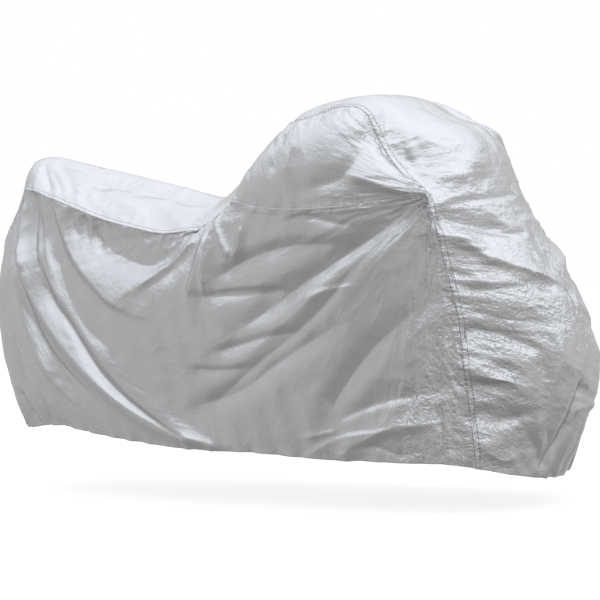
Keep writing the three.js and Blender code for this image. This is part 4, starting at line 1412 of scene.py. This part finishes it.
class CoverClothSettings(bpy.types.PropertyGroup):
    """Sizes and colours of the cloth."""

    spare: FloatProperty(name="Spare cloth", description="Length that the cloth has over its shape",
                         default=0.02, min=0, max=0.1, subtype="FACTOR")
    bend: FloatProperty(name="Bending stiffness", description="How stiffly the cloth bends as it settles",
                        default=15, min=0)
    gravity: FloatProperty(name="Weight share", description="Share of gravity that acts as it settles",
                           default=0.5, min=0, max=1, subtype="FACTOR")
    crease: FloatProperty(name="Crease depth", description="Depth of the crumpled facets",
                          default=0.003, min=0, unit="LENGTH", subtype="DISTANCE", precision=4)
    pucker: FloatProperty(name="Pucker depth", description="Depth of the puckers beside the seams",
                          default=0.0034, min=0, unit="LENGTH", subtype="DISTANCE", precision=4)
    gather: FloatProperty(name="Gather depth", description="Depth of the elastic gathers at the hem",
                          default=0.013, min=0, unit="LENGTH", subtype="DISTANCE", precision=4)
    colour: FloatVectorProperty(name="Coating colour", description="Colour of the silver coating",
                                default=(0.67, 0.667, 0.663), min=0, max=1, subtype="COLOR")
    sheen: FloatProperty(name="Metal share", description="How metallic the coating is",
                         default=0.75, min=0, max=1, subtype="FACTOR")
    roughness: FloatProperty(name="Roughness", description="How dull the coating is",
                             default=0.25, min=0, max=1, subtype="FACTOR")
    weave_scale: FloatProperty(name="Weave", description="Pairs of threads in a centimetre of the weave",
                               default=12, min=1)


class CoverStitchSettings(bpy.types.PropertyGroup):
    """Sizes and colour of the stitches."""

    length: FloatProperty(name="Stitch length", description="Length of one stitch",
                          default=0.0075, min=0.001, unit="LENGTH", subtype="DISTANCE", precision=4)
    width: FloatProperty(name="Thread width", description="Width of the thread",
                         default=0.0017, min=0.0002, unit="LENGTH", subtype="DISTANCE", precision=4)
    gap: FloatProperty(name="Stitch gap", description="Space between two stitches",
                       default=0.004, min=0, unit="LENGTH", subtype="DISTANCE", precision=4)
    colour: FloatVectorProperty(name="Thread colour", description="Colour of the long seams' thread",
                                default=(0.1, 0.1, 0.105), min=0, max=1, subtype="COLOR")
    pale_colour: FloatVectorProperty(name="Pale thread colour", description="Colour of the other thread",
                                     default=(0.5, 0.5, 0.52), min=0, max=1, subtype="COLOR")


class CoverStudioSettings(bpy.types.PropertyGroup):
    """Brightness of the studio's lights, and the floor's colour."""

    ambient: FloatProperty(name="Ambient light", description="Light from every side", default=0.31, min=0)
    overhead: FloatProperty(name="Overhead light", description="Light from above", default=0.68, min=0)
    horizon: FloatProperty(name="Horizon light", description="Light that fades below", default=0.14, min=0)
    low_rear: FloatProperty(name="Low rear light", description="Low light behind the tail",
                            default=0.16, min=0)
    low_front: FloatProperty(name="Low front light", description="Low light before the near side",
                             default=0.16, min=0)
    zenith: FloatProperty(name="Zenith light", description="Light from high above", default=0.38, min=0)
    backdrop: FloatProperty(name="Backdrop light", description="Light from behind", default=0.22, min=0)
    front: FloatProperty(name="Front light", description="Light above the front", default=0.12, min=0)
    floor: FloatVectorProperty(name="Floor colour", description="Colour of the floor",
                               default=(0.2, 0.2, 0.2), min=0, max=1, subtype="COLOR")


def cloth_cut():
    settings = bpy.context.scene.cover_cloth
    return Cut(*(getattr(settings, name) for name in Cut._fields))


class COVER_OT_sew_panels(bpy.types.Operator):
    """Makes the five sewn panels of the cover"""

    bl_idname = "cover.sew_panels"
    bl_label = "Sew panels"

    def execute(self, context):
        material = silver_cloth(context.scene.cover_cloth)
        cut = cloth_cut()
        for n, name in enumerate(cover_names()):
            piece = cloth_object(cut, n)
            piece.data.materials.append(material)
            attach(piece, "root")
            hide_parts(name)
        return {"FINISHED"}


class COVER_OT_sew_stitches(bpy.types.Operator):
    """Makes the rows of stitches along the seams and the hem, and the stitched mark"""

    bl_idname = "cover.sew_stitches"
    bl_label = "Sew stitches"

    def execute(self, context):
        settings = context.scene.cover_stitches
        cut = cloth_cut()
        dark = thread_material("dark_thread", settings.colour)
        pale = thread_material("pale_thread", settings.pale_colour)
        rows = {
            "stitches_right": (dark, long_seam_stitches(cut, "right")),
            "stitches_left": (dark, long_seam_stitches(cut, "left")),
            "stitches_side_right": (pale, side_seam_stitches(cut, "right")),
            "stitches_side_left": (pale, side_seam_stitches(cut, "left")),
            "stitches_hem": (pale, hem_stitches(cut)),
            "stitches_mark": (dark, mark_lines(cut)),
        }
        for name, (thread, lines) in rows.items():
            piece = stitches_object(name, settings, lines)
            piece.data.materials.append(thread)
            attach(piece, "root")
        return {"FINISHED"}


class COVER_OT_declare_sheets(bpy.types.Operator):
    """Does nothing: it states no panel's flat cut and no stitches"""

    bl_idname = "cover.declare_sheets"
    bl_label = "Declare sheets"

    def execute(self, context):
        return {"FINISHED"}


class COVER_OT_set_studio(bpy.types.Operator):
    """Sets the camera, the pale floor and the soft light"""

    bl_idname = "cover.set_studio"
    bl_label = "Set studio"

    def execute(self, context):
        settings = context.scene.cover_studio
        studio_camera()
        bpy.ops.object.select_all(action="DESELECT")
        bpy.ops.mesh.primitive_plane_add(size=FLOOR_SIZE, location=(0, 0, FLOOR_LEVEL))
        floor = context.object
        floor.name = "floor"
        floor.data.materials.append(floor_material(settings.floor))
        floor.visible_diffuse = False
        floor.visible_glossy = False
        studio_light(settings)
        return {"FINISHED"}


class COVER_PT_panel(bpy.types.Panel):
    """Lists the cover's sizes, colours and steps"""

    bl_idname = "COVER_PT_panel"
    bl_label = "Motorcycle cover"
    bl_space_type = "VIEW_3D"
    bl_region_type = "UI"
    bl_category = "Cover"

    def draw(self, context):
        for group, operators in STEPS_SHOWN.items():
            settings = getattr(context.scene, group)
            box = self.layout.box()
            for name in settings.bl_rna.properties.keys():
                if name not in ("rna_type", "name"):
                    box.prop(settings, name)
            for operator in operators:
                box.operator(operator)


GROUPS = {
    "cover_cloth": CoverClothSettings,
    "cover_stitches": CoverStitchSettings,
    "cover_studio": CoverStudioSettings,
}
STEPS_SHOWN = {
    "cover_cloth": ("cover.sew_panels",),
    "cover_stitches": ("cover.sew_stitches", "cover.declare_sheets"),
    "cover_studio": ("cover.set_studio",),
}
CLASSES = (
    *GROUPS.values(),
    COVER_OT_sew_panels,
    COVER_OT_sew_stitches,
    COVER_OT_declare_sheets,
    COVER_OT_set_studio,
    COVER_PT_panel,
)


def register():
    for cls in CLASSES:
        bpy.utils.register_class(cls)
    for name, group in GROUPS.items():
        setattr(bpy.types.Scene, name, PointerProperty(type=group))


def unregister():
    for name in GROUPS:
        delattr(bpy.types.Scene, name)
    for cls in reversed(CLASSES):
        bpy.utils.unregister_class(cls)


def main():
    register()
    bpy.ops.cover.set_studio()
    bpy.ops.cover.sew_panels()
    bpy.ops.cover.sew_stitches()
    bpy.ops.cover.declare_sheets()


if __name__ == "__main__":
    main()
